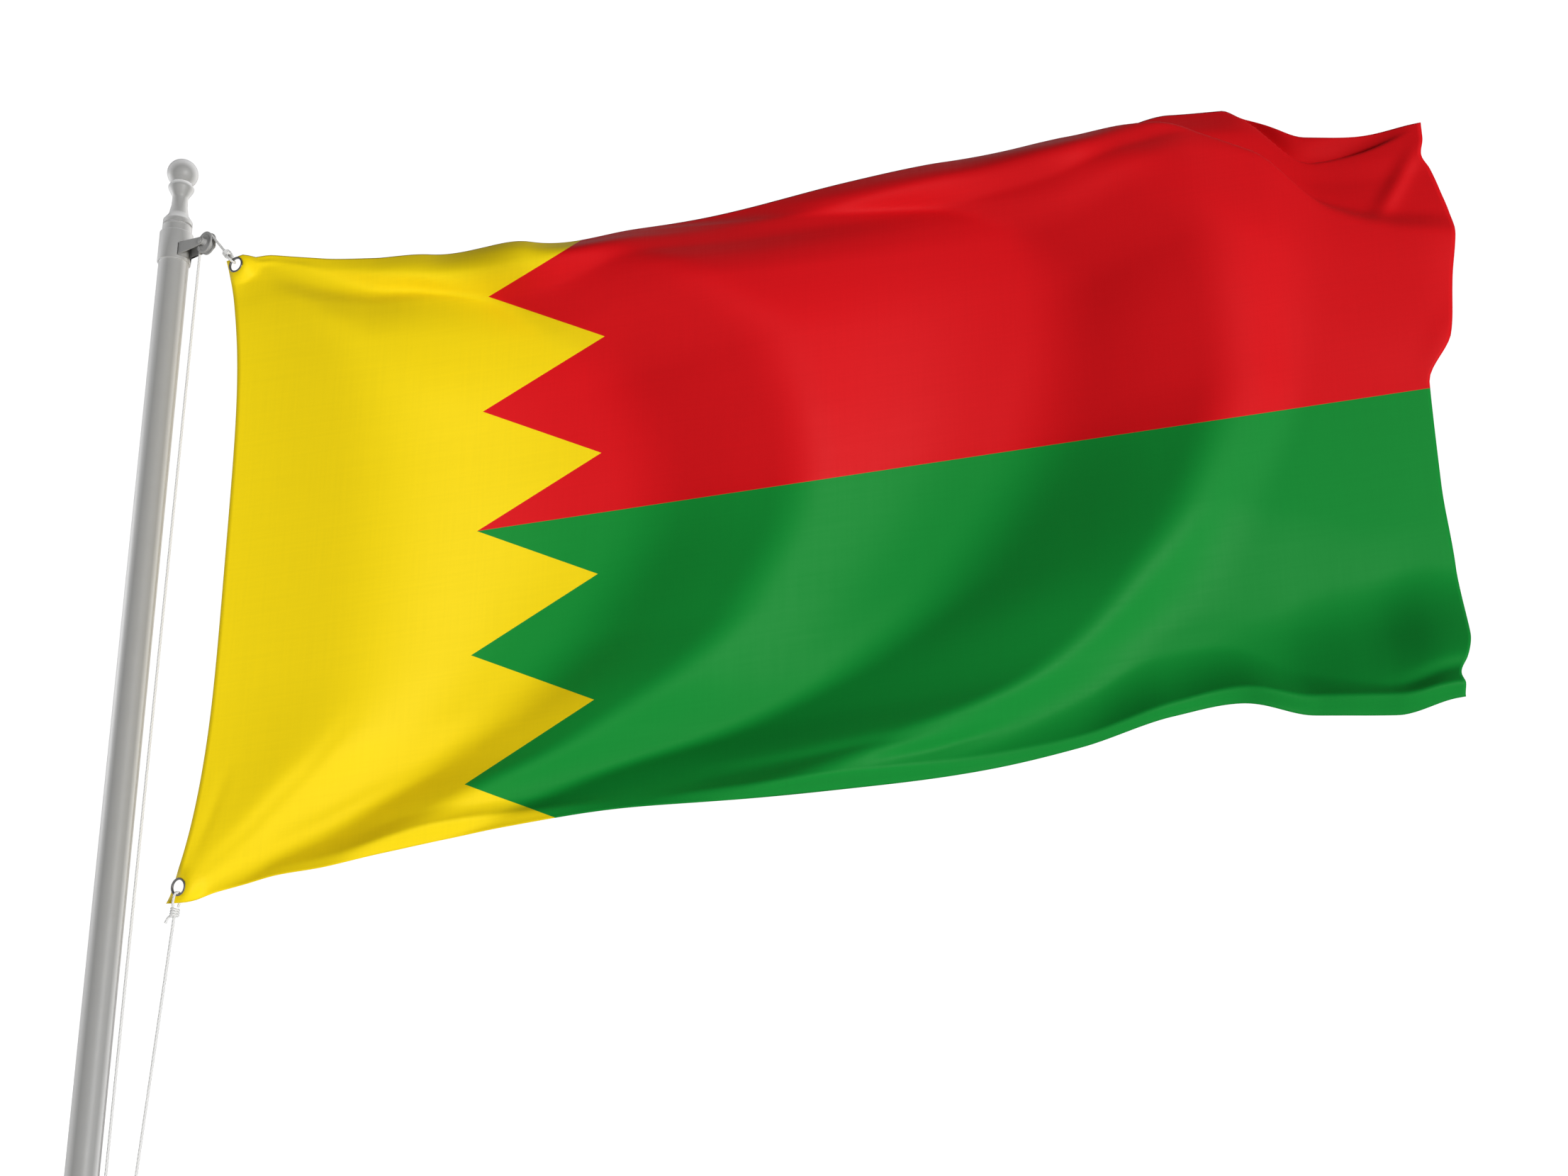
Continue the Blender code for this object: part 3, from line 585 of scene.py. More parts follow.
def make_weave_group():
    """Plain weave with uneven threads: a height for the bump and a faint streak mask."""
    group = new_group(
        "Plain weave",
        [
            ("Place", "NodeSocketVector", None),
            ("Thread pitch", "NodeSocketFloat", 0.001),
        ],
        [("Height", "NodeSocketFloat"), ("Streaks", "NodeSocketFloat")],
    )
    wires = Wiring(group)
    start = wires.node("NodeGroupInput")
    end = wires.node("NodeGroupOutput")
    split = wires.node("ShaderNodeSeparateXYZ")
    wires.link(start.outputs["Place"], split.inputs[0])
    turn = wires.maths("DIVIDE", pi, start.outputs["Thread pitch"])
    warp = wires.maths("SINE", wires.maths("MULTIPLY", split.outputs[0], turn))
    weft = wires.maths("SINE", wires.maths("MULTIPLY", split.outputs[1], turn))
    height = wires.maths("MULTIPLY", warp, weft)
    wires.link(wires.maths("MULTIPLY_ADD", height, 0.5, 0.5), end.inputs["Height"])
    stretch = wires.node("ShaderNodeMapping")
    stretch.inputs["Scale"].default_value = (220, 6, 1)
    wires.link(start.outputs["Place"], stretch.inputs["Vector"])
    along = wires.node("ShaderNodeMapping")
    along.inputs["Scale"].default_value = (6, 180, 1)
    wires.link(start.outputs["Place"], along.inputs["Vector"])
    threads = wires.noise(stretch.outputs[0], 1.0)
    crossing = wires.noise(along.outputs[0], 1.0)
    both = wires.maths("MULTIPLY", wires.maths("ADD", threads, crossing), 0.5)
    wires.link(both, end.inputs["Streaks"])
    return group


def make_wear_group():
    """Weathering of painted and bare metal: soft blotches, fine scratches and dust."""
    group = new_group(
        "Outdoor wear",
        [
            ("Place", "NodeSocketVector", None),
            ("Colour", "NodeSocketColor", None),
            ("Blotch scale", "NodeSocketFloat", 30.0),
            ("Amount", "NodeSocketFloat", 0.1),
            ("Roughness", "NodeSocketFloat", 0.4),
        ],
        [
            ("Colour", "NodeSocketColor"),
            ("Roughness", "NodeSocketFloat"),
            ("Height", "NodeSocketFloat"),
        ],
    )
    wires = Wiring(group)
    start = wires.node("NodeGroupInput")
    end = wires.node("NodeGroupOutput")
    place, amount = start.outputs["Place"], start.outputs["Amount"]
    blotches = wires.noise(place, start.outputs["Blotch scale"], 4.0, 0.6)
    grain = wires.noise(place, 900.0, 2.0, 0.7)
    streak = wires.node("ShaderNodeMapping")
    streak.inputs["Scale"].default_value = (260, 260, 7)
    wires.link(place, streak.inputs["Vector"])
    scratches = wires.noise(streak.outputs[0], 1.0, 4.0, 0.6)
    worn = wires.maths("MULTIPLY", wires.blend(blotches, 0.35, 0.75, 0.0, 1.0), amount)
    darker = wires.node("ShaderNodeMix", data_type="RGBA", blend_type="MULTIPLY")
    wires.link(worn, darker.inputs["Factor"])
    wires.link(start.outputs["Colour"], darker.inputs["A"])
    darker.inputs["B"].default_value = (0.55, 0.54, 0.52, 1)
    wires.link(darker.outputs["Result"], end.inputs["Colour"])
    uneven = wires.maths("SUBTRACT", wires.maths("ADD", blotches, scratches), 1.0)
    rough = wires.maths("MULTIPLY_ADD", uneven, amount, start.outputs["Roughness"], clamp=True)
    wires.link(rough, end.inputs["Roughness"])
    wires.link(wires.maths("MULTIPLY_ADD", scratches, 0.6, grain), end.inputs["Height"])
    return group


def shared_group(name, maker):
    return bpy.data.node_groups.get(name) or maker()


def new_material(name):
    material = bpy.data.materials.new(name)
    material.use_nodes = True
    wires = Wiring(material.node_tree)
    return material, wires, material.node_tree.nodes["Principled BSDF"]


def add_bump(wires, shader, height, distance, strength=1.0):
    bump = wires.node("ShaderNodeBump")
    bump.inputs["Distance"].default_value = distance
    bump.inputs["Strength"].default_value = strength
    wires.link(height, bump.inputs["Height"])
    wires.link(bump.outputs["Normal"], shader.inputs["Normal"])


def metal_finish(name, colour, metallic, roughness, wear, blotches=30.0, grain=0.00003):
    """Painted or bare metal with the shared weathering, on object coordinates."""
    material, wires, shader = new_material(name)
    place = wires.node("ShaderNodeTexCoord").outputs["Object"]
    worn = wires.node("ShaderNodeGroup")
    worn.node_tree = shared_group("Outdoor wear", make_wear_group)
    wires.link(place, worn.inputs["Place"])
    worn.inputs["Colour"].default_value = (*colour, 1)
    worn.inputs["Blotch scale"].default_value = blotches
    worn.inputs["Amount"].default_value = wear
    worn.inputs["Roughness"].default_value = roughness
    wires.link(worn.outputs["Colour"], shader.inputs["Base Color"])
    wires.link(worn.outputs["Roughness"], shader.inputs["Roughness"])
    shader.inputs["Metallic"].default_value = metallic
    add_bump(wires, shader, worn.outputs["Height"], grain)
    return material


def pole_finish(colour):
    """Satin light paint with a painted reflection, the colour turning near white towards the rims,
    and the shared weathering.
    """
    material = metal_finish("Pole paint", colour, 0.0, 0.45, 0.06)
    wires = Wiring(material.node_tree)
    shader = material.node_tree.nodes["Principled BSDF"]
    painted = shader.inputs["Base Color"].links[0].from_socket
    # Painted reflection: near-white colour mixed into the paint where the surface turns away from
    # view
    facing = wires.node("ShaderNodeLayerWeight").outputs["Facing"]
    painted_rim_reflection = wires.blend(facing, 0.18, 0.62, 0.0, 0.95)
    wires.link(wires.mix(painted_rim_reflection, painted, (0.98, 0.98, 0.98, 1)), shader.inputs["Base Color"])
    shader.inputs["Specular IOR Level"].default_value = 0.35
    return material


def rope_finish(colour):
    """White rope: fibres along the strands, and painted shade that greys the grooves between them."""
    material, wires, shader = new_material("Halyard rope")
    uv = wires.node("ShaderNodeUVMap", uv_map="UVMap")
    split = wires.node("ShaderNodeSeparateXYZ")
    wires.link(uv.outputs[0], split.inputs[0])
    strand = wires.maths("MULTIPLY", split.outputs[0], 3 * pi)
    crown = wires.maths("ABSOLUTE", wires.maths("COSINE", strand))
    # Painted shade: the rope's colour darkened to 72 % in the grooves between strands
    groove = wires.blend(crown, 0.0, 0.45, 1.0, 0.0)
    fibres = wires.node("ShaderNodeMapping")
    fibres.inputs["Scale"].default_value = (60, 9, 1)
    wires.link(uv.outputs[0], fibres.inputs["Vector"])
    fuzz = wires.noise(fibres.outputs[0], 1.0, 3.0, 0.6)
    painted_groove_shade = wires.mix(groove, (*colour, 1), (*[part * 0.72 for part in colour], 1))
    fuzzy = wires.blend(fuzz, 0.4, 0.8, 0.0, 0.25)
    wires.link(wires.mix(fuzzy, painted_groove_shade, (0.6, 0.6, 0.58, 1)), shader.inputs["Base Color"])
    shader.inputs["Roughness"].default_value = 0.75
    shader.inputs["Sheen Weight"].default_value = 0.2
    add_bump(wires, shader, fuzz, 0.0002)
    return material


def flag_finish(settings):
    """Printed woven cloth: a toothed hoist panel and two fields, drawn in the cloth's own map."""
    material, wires, shader = new_material("Flag cloth")
    uv = wires.node("ShaderNodeUVMap", uv_map="UVMap")
    metres = wires.node("ShaderNodeMapping")
    metres.inputs["Scale"].default_value = (FLAT_SIZE[1], FLAT_SIZE[0], 1)
    wires.link(uv.outputs[0], metres.inputs["Vector"])
    flat = wires.node("ShaderNodeSeparateXYZ")
    wires.link(metres.outputs[0], flat.inputs[0])
    shares = wires.node("ShaderNodeSeparateXYZ")
    wires.link(uv.outputs[0], shares.inputs[0])
    from_middle = wires.maths("SUBTRACT", shares.outputs[1], 0.5)
    half = settings.tooth_share / 2
    tooth = wires.maths("DIVIDE", wires.maths("PINGPONG", from_middle, half), half)
    edge = wires.maths("MULTIPLY_ADD", tooth, settings.tooth_length, settings.tooth_root)
    past_edge = wires.maths("SUBTRACT", flat.outputs[0], edge)
    beyond = wires.blend(past_edge, -0.0006, 0.0006, 0.0, 1.0)
    above = wires.blend(from_middle, -0.0004, 0.0004, 0.0, 1.0)
    fields = wires.mix(above, (*settings.lower_colour, 1), (*settings.upper_colour, 1))
    printed = wires.mix(beyond, (*settings.hoist_colour, 1), fields)
    weave = wires.node("ShaderNodeGroup")
    weave.node_tree = shared_group("Plain weave", make_weave_group)
    wires.link(metres.outputs[0], weave.inputs["Place"])
    weave.inputs["Thread pitch"].default_value = settings.thread_pitch
    faded = wires.node("ShaderNodeMix", data_type="RGBA", blend_type="MULTIPLY")
    wires.link(wires.blend(weave.outputs["Streaks"], 0.4, 0.65, 0.0, 0.10), faded.inputs["Factor"])
    wires.link(printed, faded.inputs["A"])
    faded.inputs["B"].default_value = (0.72, 0.72, 0.72, 1)
    wires.link(faded.outputs["Result"], shader.inputs["Base Color"])
    roughness = wires.blend(weave.outputs["Streaks"], 0.3, 0.7, 0.52, 0.60)
    wires.link(roughness, shader.inputs["Roughness"])
    shader.inputs["Specular IOR Level"].default_value = 0.10
    shader.inputs["Sheen Weight"].default_value = 0.01
    shader.inputs["Sheen Roughness"].default_value = 0.4
    add_bump(wires, shader, weave.outputs["Height"], 0.00004, 0.3)
    return material


# Cloth


def fold_depth(x, share):
    """How far back the folds set the cloth: its slope runs smoothly from line to line."""
    lines = [smooth_curve(FOLD_HEIGHTS, line, share) for line in FOLD_LINES.values()]
    slopes = [smooth_curve(TURN_HEIGHTS, slope, share) for slope in FOLD_SLOPES.values()]
    depth, whole = np.zeros_like(x), np.zeros_like(x)
    for k in range(len(lines) - 1):
        width = lines[k + 1] - lines[k]
        t = np.clip((x - lines[k]) / width, 0, 1)
        depth += width * (slopes[k] * t + (slopes[k + 1] - slopes[k]) * (t**3 - t**4 / 2))
        whole += width * (slopes[k] + slopes[k + 1]) / 2
    return depth - whole * (x - lines[0]) / (lines[-1] - lines[0])


def ridge_depth(x, share):
    """The cloth leaning back above its ridges at the head."""
    depth = np.zeros_like(x)
    for name, (lean, softness, start, full, fade, end) in RIDGES.items():
        line = RIDGE_LINES[name]
        ridge = smooth_curve([point[0] for point in line], [point[1] for point in line], x)
        above = np.maximum(0, share - ridge) * FLAT_SIZE[0]
        here = soft_step(np.clip((x - start) / (full - start), 0, 1))
        here *= soft_step(np.clip((end - x) / (end - fade), 0, 1))
        depth += here * lean * above**2 / (above + softness)
    return depth


def turn_depth(x, share):
    """The head of the fly turning back, and its foot coming forward."""
    depth = np.zeros_like(x)
    for turn, width, side in ((HEAD_TURN, HEAD_TURN_WIDTH, 1), (FOOT_TURN, FOOT_TURN_WIDTH, -1)):
        places = [row[0] for row in turn]
        start, far = (smooth_curve(places, [row[k] for row in turn], x) for k in (1, 2))
        past = side * (share - start) * FLAT_SIZE[0]
        depth += side * far * soft_step(np.clip(past / width, 0, 1))
    return depth


def hem_depth(x, share):
    """How far the lower edge comes forward to its crease, and turns back under it."""
    places = [row[0] for row in HEM]
    turn, crease, forward, back = (
        smooth_curve(places, [row[k] for row in HEM], x) for k in range(1, 5)
    )
    out = np.clip((turn - share) / (turn - crease), 0, 1) ** HEM_POWER
    under = soft_step(np.clip(1 - share / crease, 0, 1))
    return back * under - forward * out


def lap_depth(x, share):
    """Steps back above a line, from which the cloth comes slowly forward again."""
    depth = np.zeros_like(x)
    for back, width, length, line in LAPS:
        lap = smooth_curve([point[0] for point in line], [point[1] for point in line], x)
        above = (share - lap) * FLAT_SIZE[0]
        rise = soft_step(np.clip(above / width, 0, 1))
        ends = np.clip((x - line[0][0]) / (line[1][0] - line[0][0]), 0, 1)
        ends *= np.clip((line[-1][0] - x) / (line[-1][0] - line[-2][0]), 0, 1)
        returned = soft_step(np.clip((above - width) / length, 0, 1))
        depth += back * soft_step(ends) * rise * (1 - returned)
    return depth


def crease_depth(x, share):
    """Small creases and ridges laid on the main folds."""
    total = np.zeros_like(x)
    height = share * FLAT_SIZE[0]
    for depth, half_width, line in CREASES:
        route = [(px, ps * FLAT_SIZE[0]) for px, ps in line]
        lengths = [hypot(b[0] - a[0], b[1] - a[1]) for a, b in zip(route, route[1:])]
        whole = sum(lengths)
        nearest = np.full_like(x, 1e9)
        gone = np.zeros_like(x)
        travelled = 0.0
        for (ax, az), (bx, bz), length in zip(route, route[1:], lengths):
            t = np.clip(((x - ax) * (bx - ax) + (height - az) * (bz - az)) / length**2, 0, 1)
            distance = np.hypot(x - ax - t * (bx - ax), height - az - t * (bz - az))
            closer = distance < nearest
            nearest = np.where(closer, distance, nearest)
            gone = np.where(closer, (travelled + t * length) / whole, gone)
            travelled += length
        fade = np.sin(pi * np.clip(gone, CREASE_END, 1 - CREASE_END)) ** CREASE_POWER
        total += depth * fade * np.exp(-((nearest / half_width) ** 2))
    return total


def cloth_surface(along, share):
    """Points of the hanging cloth and their places on the flat cloth, for shares of its sides."""
    bow = HOIST_CORNER_X + HOIST_BOW * (1 - np.abs(2 * share - 1) ** BOW_POWER)
    fly = smooth_curve([row[0] for row in FLY_EDGE], [row[1] for row in FLY_EDGE], share)
    x = HOIST_X + along * (FLY_X - HOIST_X)
    x += (bow - HOIST_X) * (1 - along) ** HOIST_POWER + (fly - FLY_X) * along**FLY_POWER
    stations = [row[0] for row in EDGES]
    low = smooth_curve(stations, [row[1] for row in EDGES], x)
    high = smooth_curve(stations, [row[2] for row in EDGES], x)
    z = low + share * (high - low)
    y = HOIST_Y + (FLY_Y - HOIST_Y) * along
    y += fold_depth(x, share) + ridge_depth(x, share) + turn_depth(x, share)
    y += hem_depth(x, share) + lap_depth(x, share) + crease_depth(x, share)
    for centre in EYELETS.values():
        distance = np.hypot(x - centre.x, z - centre.z)
        flat = 1 - soft_step(np.clip((distance - FLAT_NEAR) / (FLAT_FAR - FLAT_NEAR), 0, 1))
        plane = centre.y - (x - centre.x) * np.tan(EYELET_TURN)
        y = y + (plane - y) * flat
    nearer = (SIGHT_DEPTH - EYE[1]) / (y - EYE[1])
    seen_x, seen_z = EYE[0] + (x - EYE[0]) * nearer, EYE[2] + (z - EYE[2]) * nearer
    middle = DIVISION_HEIGHT + DIVISION_RISE * (seen_x - DIVISION_START)
    return x, y, z, seen_x / FLAT_SIZE[1], 0.5 + (seen_z - middle) / PATTERN_HEIGHT


def crowded_ends(share, amount):
    """Shares moved towards both ends, so that rows lie closer at the hems."""
    return share - amount * np.sin(2 * pi * share) / (2 * pi)


class FLAG_OT_make_cloth(bpy.types.Operator):
    """Makes the flag: one thin sheet on the solid's folds, with its creases and eyelet holes"""

    bl_idname = "city_flag.make_cloth"
    bl_label = "Make flag cloth"

    def execute(self, context):
        settings = context.scene.flag_cloth
        columns, rows = settings.columns, settings.rows
        bm = bmesh.new()
        uv_layer = bm.loops.layers.uv.new("UVMap")
        bmesh.ops.create_grid(bm, x_segments=columns, y_segments=rows, size=0.5, calc_uvs=True)
        shares = np.array([vert.co[:2] for vert in bm.verts]) + 0.5
        up = crowded_ends(shares[:, 1], ROW_CROWDING)
        x, y, z, flat_x, flat_z = cloth_surface(shares[:, 0], up)
        for k, vert in enumerate(bm.verts):
            vert.co = (x[k], y[k], z[k])
        for face in bm.faces:
            for loop in face.loops:
                k = loop.vert.index
                loop[uv_layer].uv = (flat_x[k], flat_z[k])
        for face in bm.faces:
            face.normal_flip()
        bm.normal_update()
        finish = flag_finish(settings)
        cloth = piece_from(bm, "waving_flag", finish, ROOT, "flag_cloth", "flag_cloth")
        thick = cloth.modifiers.new("Thickness", "SOLIDIFY")
        thick.thickness = settings.thickness
        thick.offset = 0
        for name, centre in EYELETS.items():
            self.cut_hole(context, cloth, name, centre)
        context.view_layer.update()
        graph = context.evaluated_depsgraph_get()
        whole = bpy.data.meshes.new_from_object(cloth.evaluated_get(graph))
        whole.name = "waving_flag"
        cloth.modifiers.clear()
        cloth.data = whole
        for name in EYELETS:
            bpy.data.objects.remove(bpy.data.objects[name + "_hole"], do_unlink=True)
        return {"FINISHED"}

    def cut_hole(self, context, cloth, name, centre):
        radius = EYELET_BARREL + GAP
        bm = bmesh.new()
        bmesh.ops.create_cone(
            bm,
            cap_ends=True,
            segments=48,
            radius1=radius,
            radius2=radius,
            depth=0.02,
            matrix=frame_at(centre, UP, eyelet_axis()),
        )
        mesh = bpy.data.meshes.new(name + "_hole")
        bm.to_mesh(mesh)
        bm.free()
        hole = bpy.data.objects.new(name + "_hole", mesh)
        hole.hide_render = True
        context.scene.collection.objects.link(hole)
        cut = cloth.modifiers.new(name, "BOOLEAN")
        cut.operation = "DIFFERENCE"
        cut.object = hole


# Eyelets


def eyelet_axis():
    """The direction out of the cloth's face at an eyelet."""
    return Vector((-sin(EYELET_TURN), -cos(EYELET_TURN), 0))


class FLAG_OT_make_eyelets(bpy.types.Operator):
    """Makes the two pressed metal eyelets, with rolled flanges"""

    bl_idname = "city_flag.make_eyelets"
    bl_label = "Make eyelets"

    def execute(self, context):
        finish = metal_finish(
            "Eyelet metal", context.scene.flag_pole.eyelet_colour, 0.75, 0.42, 0.25, 120.0
        )
        inner = 0.00075 + GAP
        outer = inner + EYELET_PLATE
        middle = (EYELET_HOLE + EYELET_FLANGE) / 2
        half = (EYELET_FLANGE - EYELET_HOLE) / 2
        crown = [(middle + half * cos(a), outer - 0.0006 + 0.0006 * sin(a)) for a in
                 np.linspace(pi, 0, 9)]
        profile = crown + [(EYELET_FLANGE, inner), (EYELET_BARREL, inner)]
        profile += [(radius, -height) for radius, height in reversed(profile)]
        for name, centre in EYELETS.items():
            bm = spun(profile, 72, ring=True)
            matrix = frame_at(centre, UP, eyelet_axis())
            bmesh.ops.transform(bm, matrix=matrix, verts=bm.verts)
            ring = piece_from(
                bm, f"eyelet_{name}_ring", finish, ROOT, "eyelet_metal", "eyelet_" + name
            )
            sharpen(ring, 50)
        return {"FINISHED"}


# Halyard


def wheel_tangent():
    """The angle on the wheel at which the rope leaves for the upper eyelet."""
    eyelet = EYELETS["upper"]
    across = eyelet.dot(OUTWARD) - WHEEL_REACH
    above = eyelet.z - WHEEL_HEIGHT
    return atan2(above, across) + np.arccos(ROPE_ROUND_WHEEL / hypot(across, above))


def on_wheel(angle):
    return in_rope_plane(
        WHEEL_REACH + ROPE_ROUND_WHEEL * cos(angle), WHEEL_HEIGHT + ROPE_ROUND_WHEEL * sin(angle)
    )


def pulls():
    """The direction in which the halyard pulls each eyelet."""
    round_arm = ARM_RADIUS + GAP + ROPE_RADIUS
    foot = in_rope_plane(DOWN_RUN_REACH, ARM_HEIGHT, -round_arm)
    return {
        "upper": (on_wheel(wheel_tangent()) - EYELETS["upper"]).normalized(),
        "lower": (foot - EYELETS["lower"]).normalized(),
    }


def halyard_route():
    """The rope's line: upper knot, over the wheel, down, round the arm, up to the lower knot."""
    away = KNOT_DISTANCE + KNOT_HALF_LENGTH + GAP
    starts = {name: EYELETS[name] + pull * away for name, pull in pulls().items()}
    leave = wheel_tangent()
    over = [on_wheel(leave + (pi - leave) * step / 24) for step in range(25)]
    round_arm = ARM_RADIUS + GAP + ROPE_RADIUS
    turns = []
    steps = int(TURNS_ON_ARM * 24)
    for step in range(steps + 1):
        angle = 2 * pi * step / 24
        reach = HOIST_RUN_REACH + (DOWN_RUN_REACH - HOIST_RUN_REACH) * step / steps
        height = ARM_HEIGHT - round_arm * sin(angle)
        turns.append(in_rope_plane(reach, height, round_arm * cos(angle)))

    def straight(first, last):
        return [first.lerp(last, share) for share in (0.02, 0.25, 0.5, 0.75, 0.98)]

    route = [starts["upper"], *straight(starts["upper"], over[0]), *over]
    route += [*straight(over[-1], turns[0]), *turns]
    return route + [*straight(turns[-1], starts["lower"]), starts["lower"]]


class FLAG_OT_make_halyard(bpy.types.Operator):
    """Makes the laid halyard, its loops through the eyelets and its tied knots"""

    bl_idname = "city_flag.make_halyard"
    bl_label = "Make halyard"

    def execute(self, context):
        settings = context.scene.flag_rope
        finish = rope_finish(settings.rope_colour)
        step = settings.ring_step * 1
        path = along_path(halyard_route(), step)
        bm = laid_rope(path, ROPE_RADIUS, settings.lay_length, settings.groove)
        halyard = piece_from(bm, "laid_halyard", finish, ROOT, "halyard_rope", "halyard")
        for name, pull in pulls().items():
            for part, route in self.tied_end(name, pull).items():
                line = along_path(route, settings.ring_step)
                bm = laid_rope(
                    line, ROPE_RADIUS * TIED_SHARE, settings.lay_length, settings.groove
                )
                node = f"{name}_{part}"
                piece_from(bm, f"tied_{node}", finish, ROOT, "halyard_rope", node)
        return {"FINISHED"}

    def tied_end(self, name, pull):
        """The line through the eyelet, and that of the knot: turns round the rope and a tail."""
        centre, out = EYELETS[name], eyelet_axis()
        in_cloth = (pull - out * pull.dot(out)).normalized()
        aside = pull - in_cloth * pull.dot(in_cloth)
        loop_end = LOOP_ROUTE[0][0]

        def loop_point(along, height):
            lean = soft_step(max(0, along - EYELET_FLANGE) / (loop_end - EYELET_FLANGE))
            return centre + in_cloth * along + aside * along * lean + out * height

        there = [loop_point(along, height) for along, height in LOOP_ROUTE]
        back = [loop_point(along, -height) for along, height in LOOP_ROUTE[-2::-1]]
        heart = centre + pull * KNOT_DISTANCE
        side = pull.cross(out).normalized()
        start = heart - pull * KNOT_HALF_LENGTH * 0.8
        turns = []
        steps = KNOT_TURNS * KNOT_STEPS
        for step in range(steps + 1):
            angle = 2 * pi * step / KNOT_STEPS
            along = KNOT_HALF_LENGTH * 1.5 * step / steps
            round_it = side * KNOT_WIDE * cos(angle) + out * KNOT_DEEP * sin(angle)
            turns.append(start + pull * along + round_it)
        tail_away = side * 0.007 - pull * 0.006 - UP * 0.004
        last = turns[-1]
        tail = [last + tail_away * share - UP * 0.004 * share**2 for share in (0.7, 1.4, 2.0)]
        return {"loop": there + back, "knot": turns + tail}


# Pole, sleeve and finial


class FLAG_OT_make_pole(bpy.types.Operator):
    """Makes the pole, its head sleeve and the turned finial"""

    bl_idname = "city_flag.make_pole"
    bl_label = "Make pole and finial"

    def execute(self, context):
        colour = context.scene.flag_pole.pole_colour
        finish = pole_finish(colour)
        small = 0.0012
        pole = [(0, POLE_TOP), (POLE_RADIUS - small, POLE_TOP), (POLE_RADIUS, POLE_TOP - small)]
        heights = np.linspace(POLE_TOP - 0.05, 0.05, 12)
        pole += [(POLE_RADIUS, height) for height in heights]
        pole += [(POLE_RADIUS, small), (POLE_RADIUS - small, 0), (0, 0)]
        sharpen(piece_from(spun(pole, 96), "painted_pole", finish, ROOT, "pole_metal", "pole"))
        sharpen(self.make_sleeve(finish))
        sharpen(self.make_finial(finish), 28)
        return {"FINISHED"}

    def make_sleeve(self, finish):
        bore = POLE_RADIUS + GAP
        small = 0.0007
        profile = [
            (0, SLEEVE_TOP),
            (SLEEVE_NECK_RADIUS - small, SLEEVE_TOP),
            (SLEEVE_NECK_RADIUS, SLEEVE_TOP - small),
            (SLEEVE_NECK_RADIUS, SLEEVE_TOP - 2.4 * small),
            (SLEEVE_NECK_RADIUS - small, SLEEVE_TOP - 2.8 * small),
            (SLEEVE_NECK_RADIUS - small, SLEEVE_TOP - 4.2 * small),
            (SLEEVE_NECK_RADIUS, SLEEVE_TOP - 4.6 * small),
            (SLEEVE_NECK_RADIUS, SLEEVE_SHOULDER + small),
            (SLEEVE_NECK_RADIUS + small, SLEEVE_SHOULDER),
        ]
        shoulder = (SLEEVE_RADIUS - 2 * small, SLEEVE_SHOULDER - 2 * small)
        profile += arc(shoulder, 2 * small, pi / 2, 0, 4)
        profile += arc((SLEEVE_RADIUS - small, SLEEVE_BOTTOM + small), small, 0, -pi / 2, 3)
        profile += [
            (bore + small, SLEEVE_BOTTOM),
            (bore, SLEEVE_BOTTOM + small),
            (bore, POLE_TOP + GAP),
            (0, POLE_TOP + GAP),
        ]
        return piece_from(
            spun(profile, 96), "turned_sleeve", finish, ROOT, "pole_metal", "head_sleeve"
        )

    def make_finial(self, finish):
        foot = SLEEVE_TOP + GAP
        lowest = -float(np.arccos(BALL_NECK_RADIUS / BALL_RADIUS))
        profile = arc((0, BALL_CENTRE), BALL_RADIUS, pi / 2, lowest, 36)
        profile[0] = (0, BALL_CENTRE + BALL_RADIUS)
        below = [(radius, foot + height) for radius, height in FINIAL_PROFILE]
        profile += [row for row in below if row[1] < profile[-1][1] - 0.0005]
        profile.append((0, foot))
        return piece_from(
            spun(profile, 96), "turned_finial", finish, ROOT, "pole_metal", "finial"
        )


# Bracket, pin, wheel and tie arm


def bracket_finish(context):
    found = bpy.data.materials.get("Bracket paint")
    return found or metal_finish(
        "Bracket paint", context.scene.flag_pole.bracket_colour, 0.0, 0.5, 0.10, 70.0
    )


def wheel_matrix():
    return frame_at(in_rope_plane(WHEEL_REACH, WHEEL_HEIGHT), UP, SIDEWAYS)


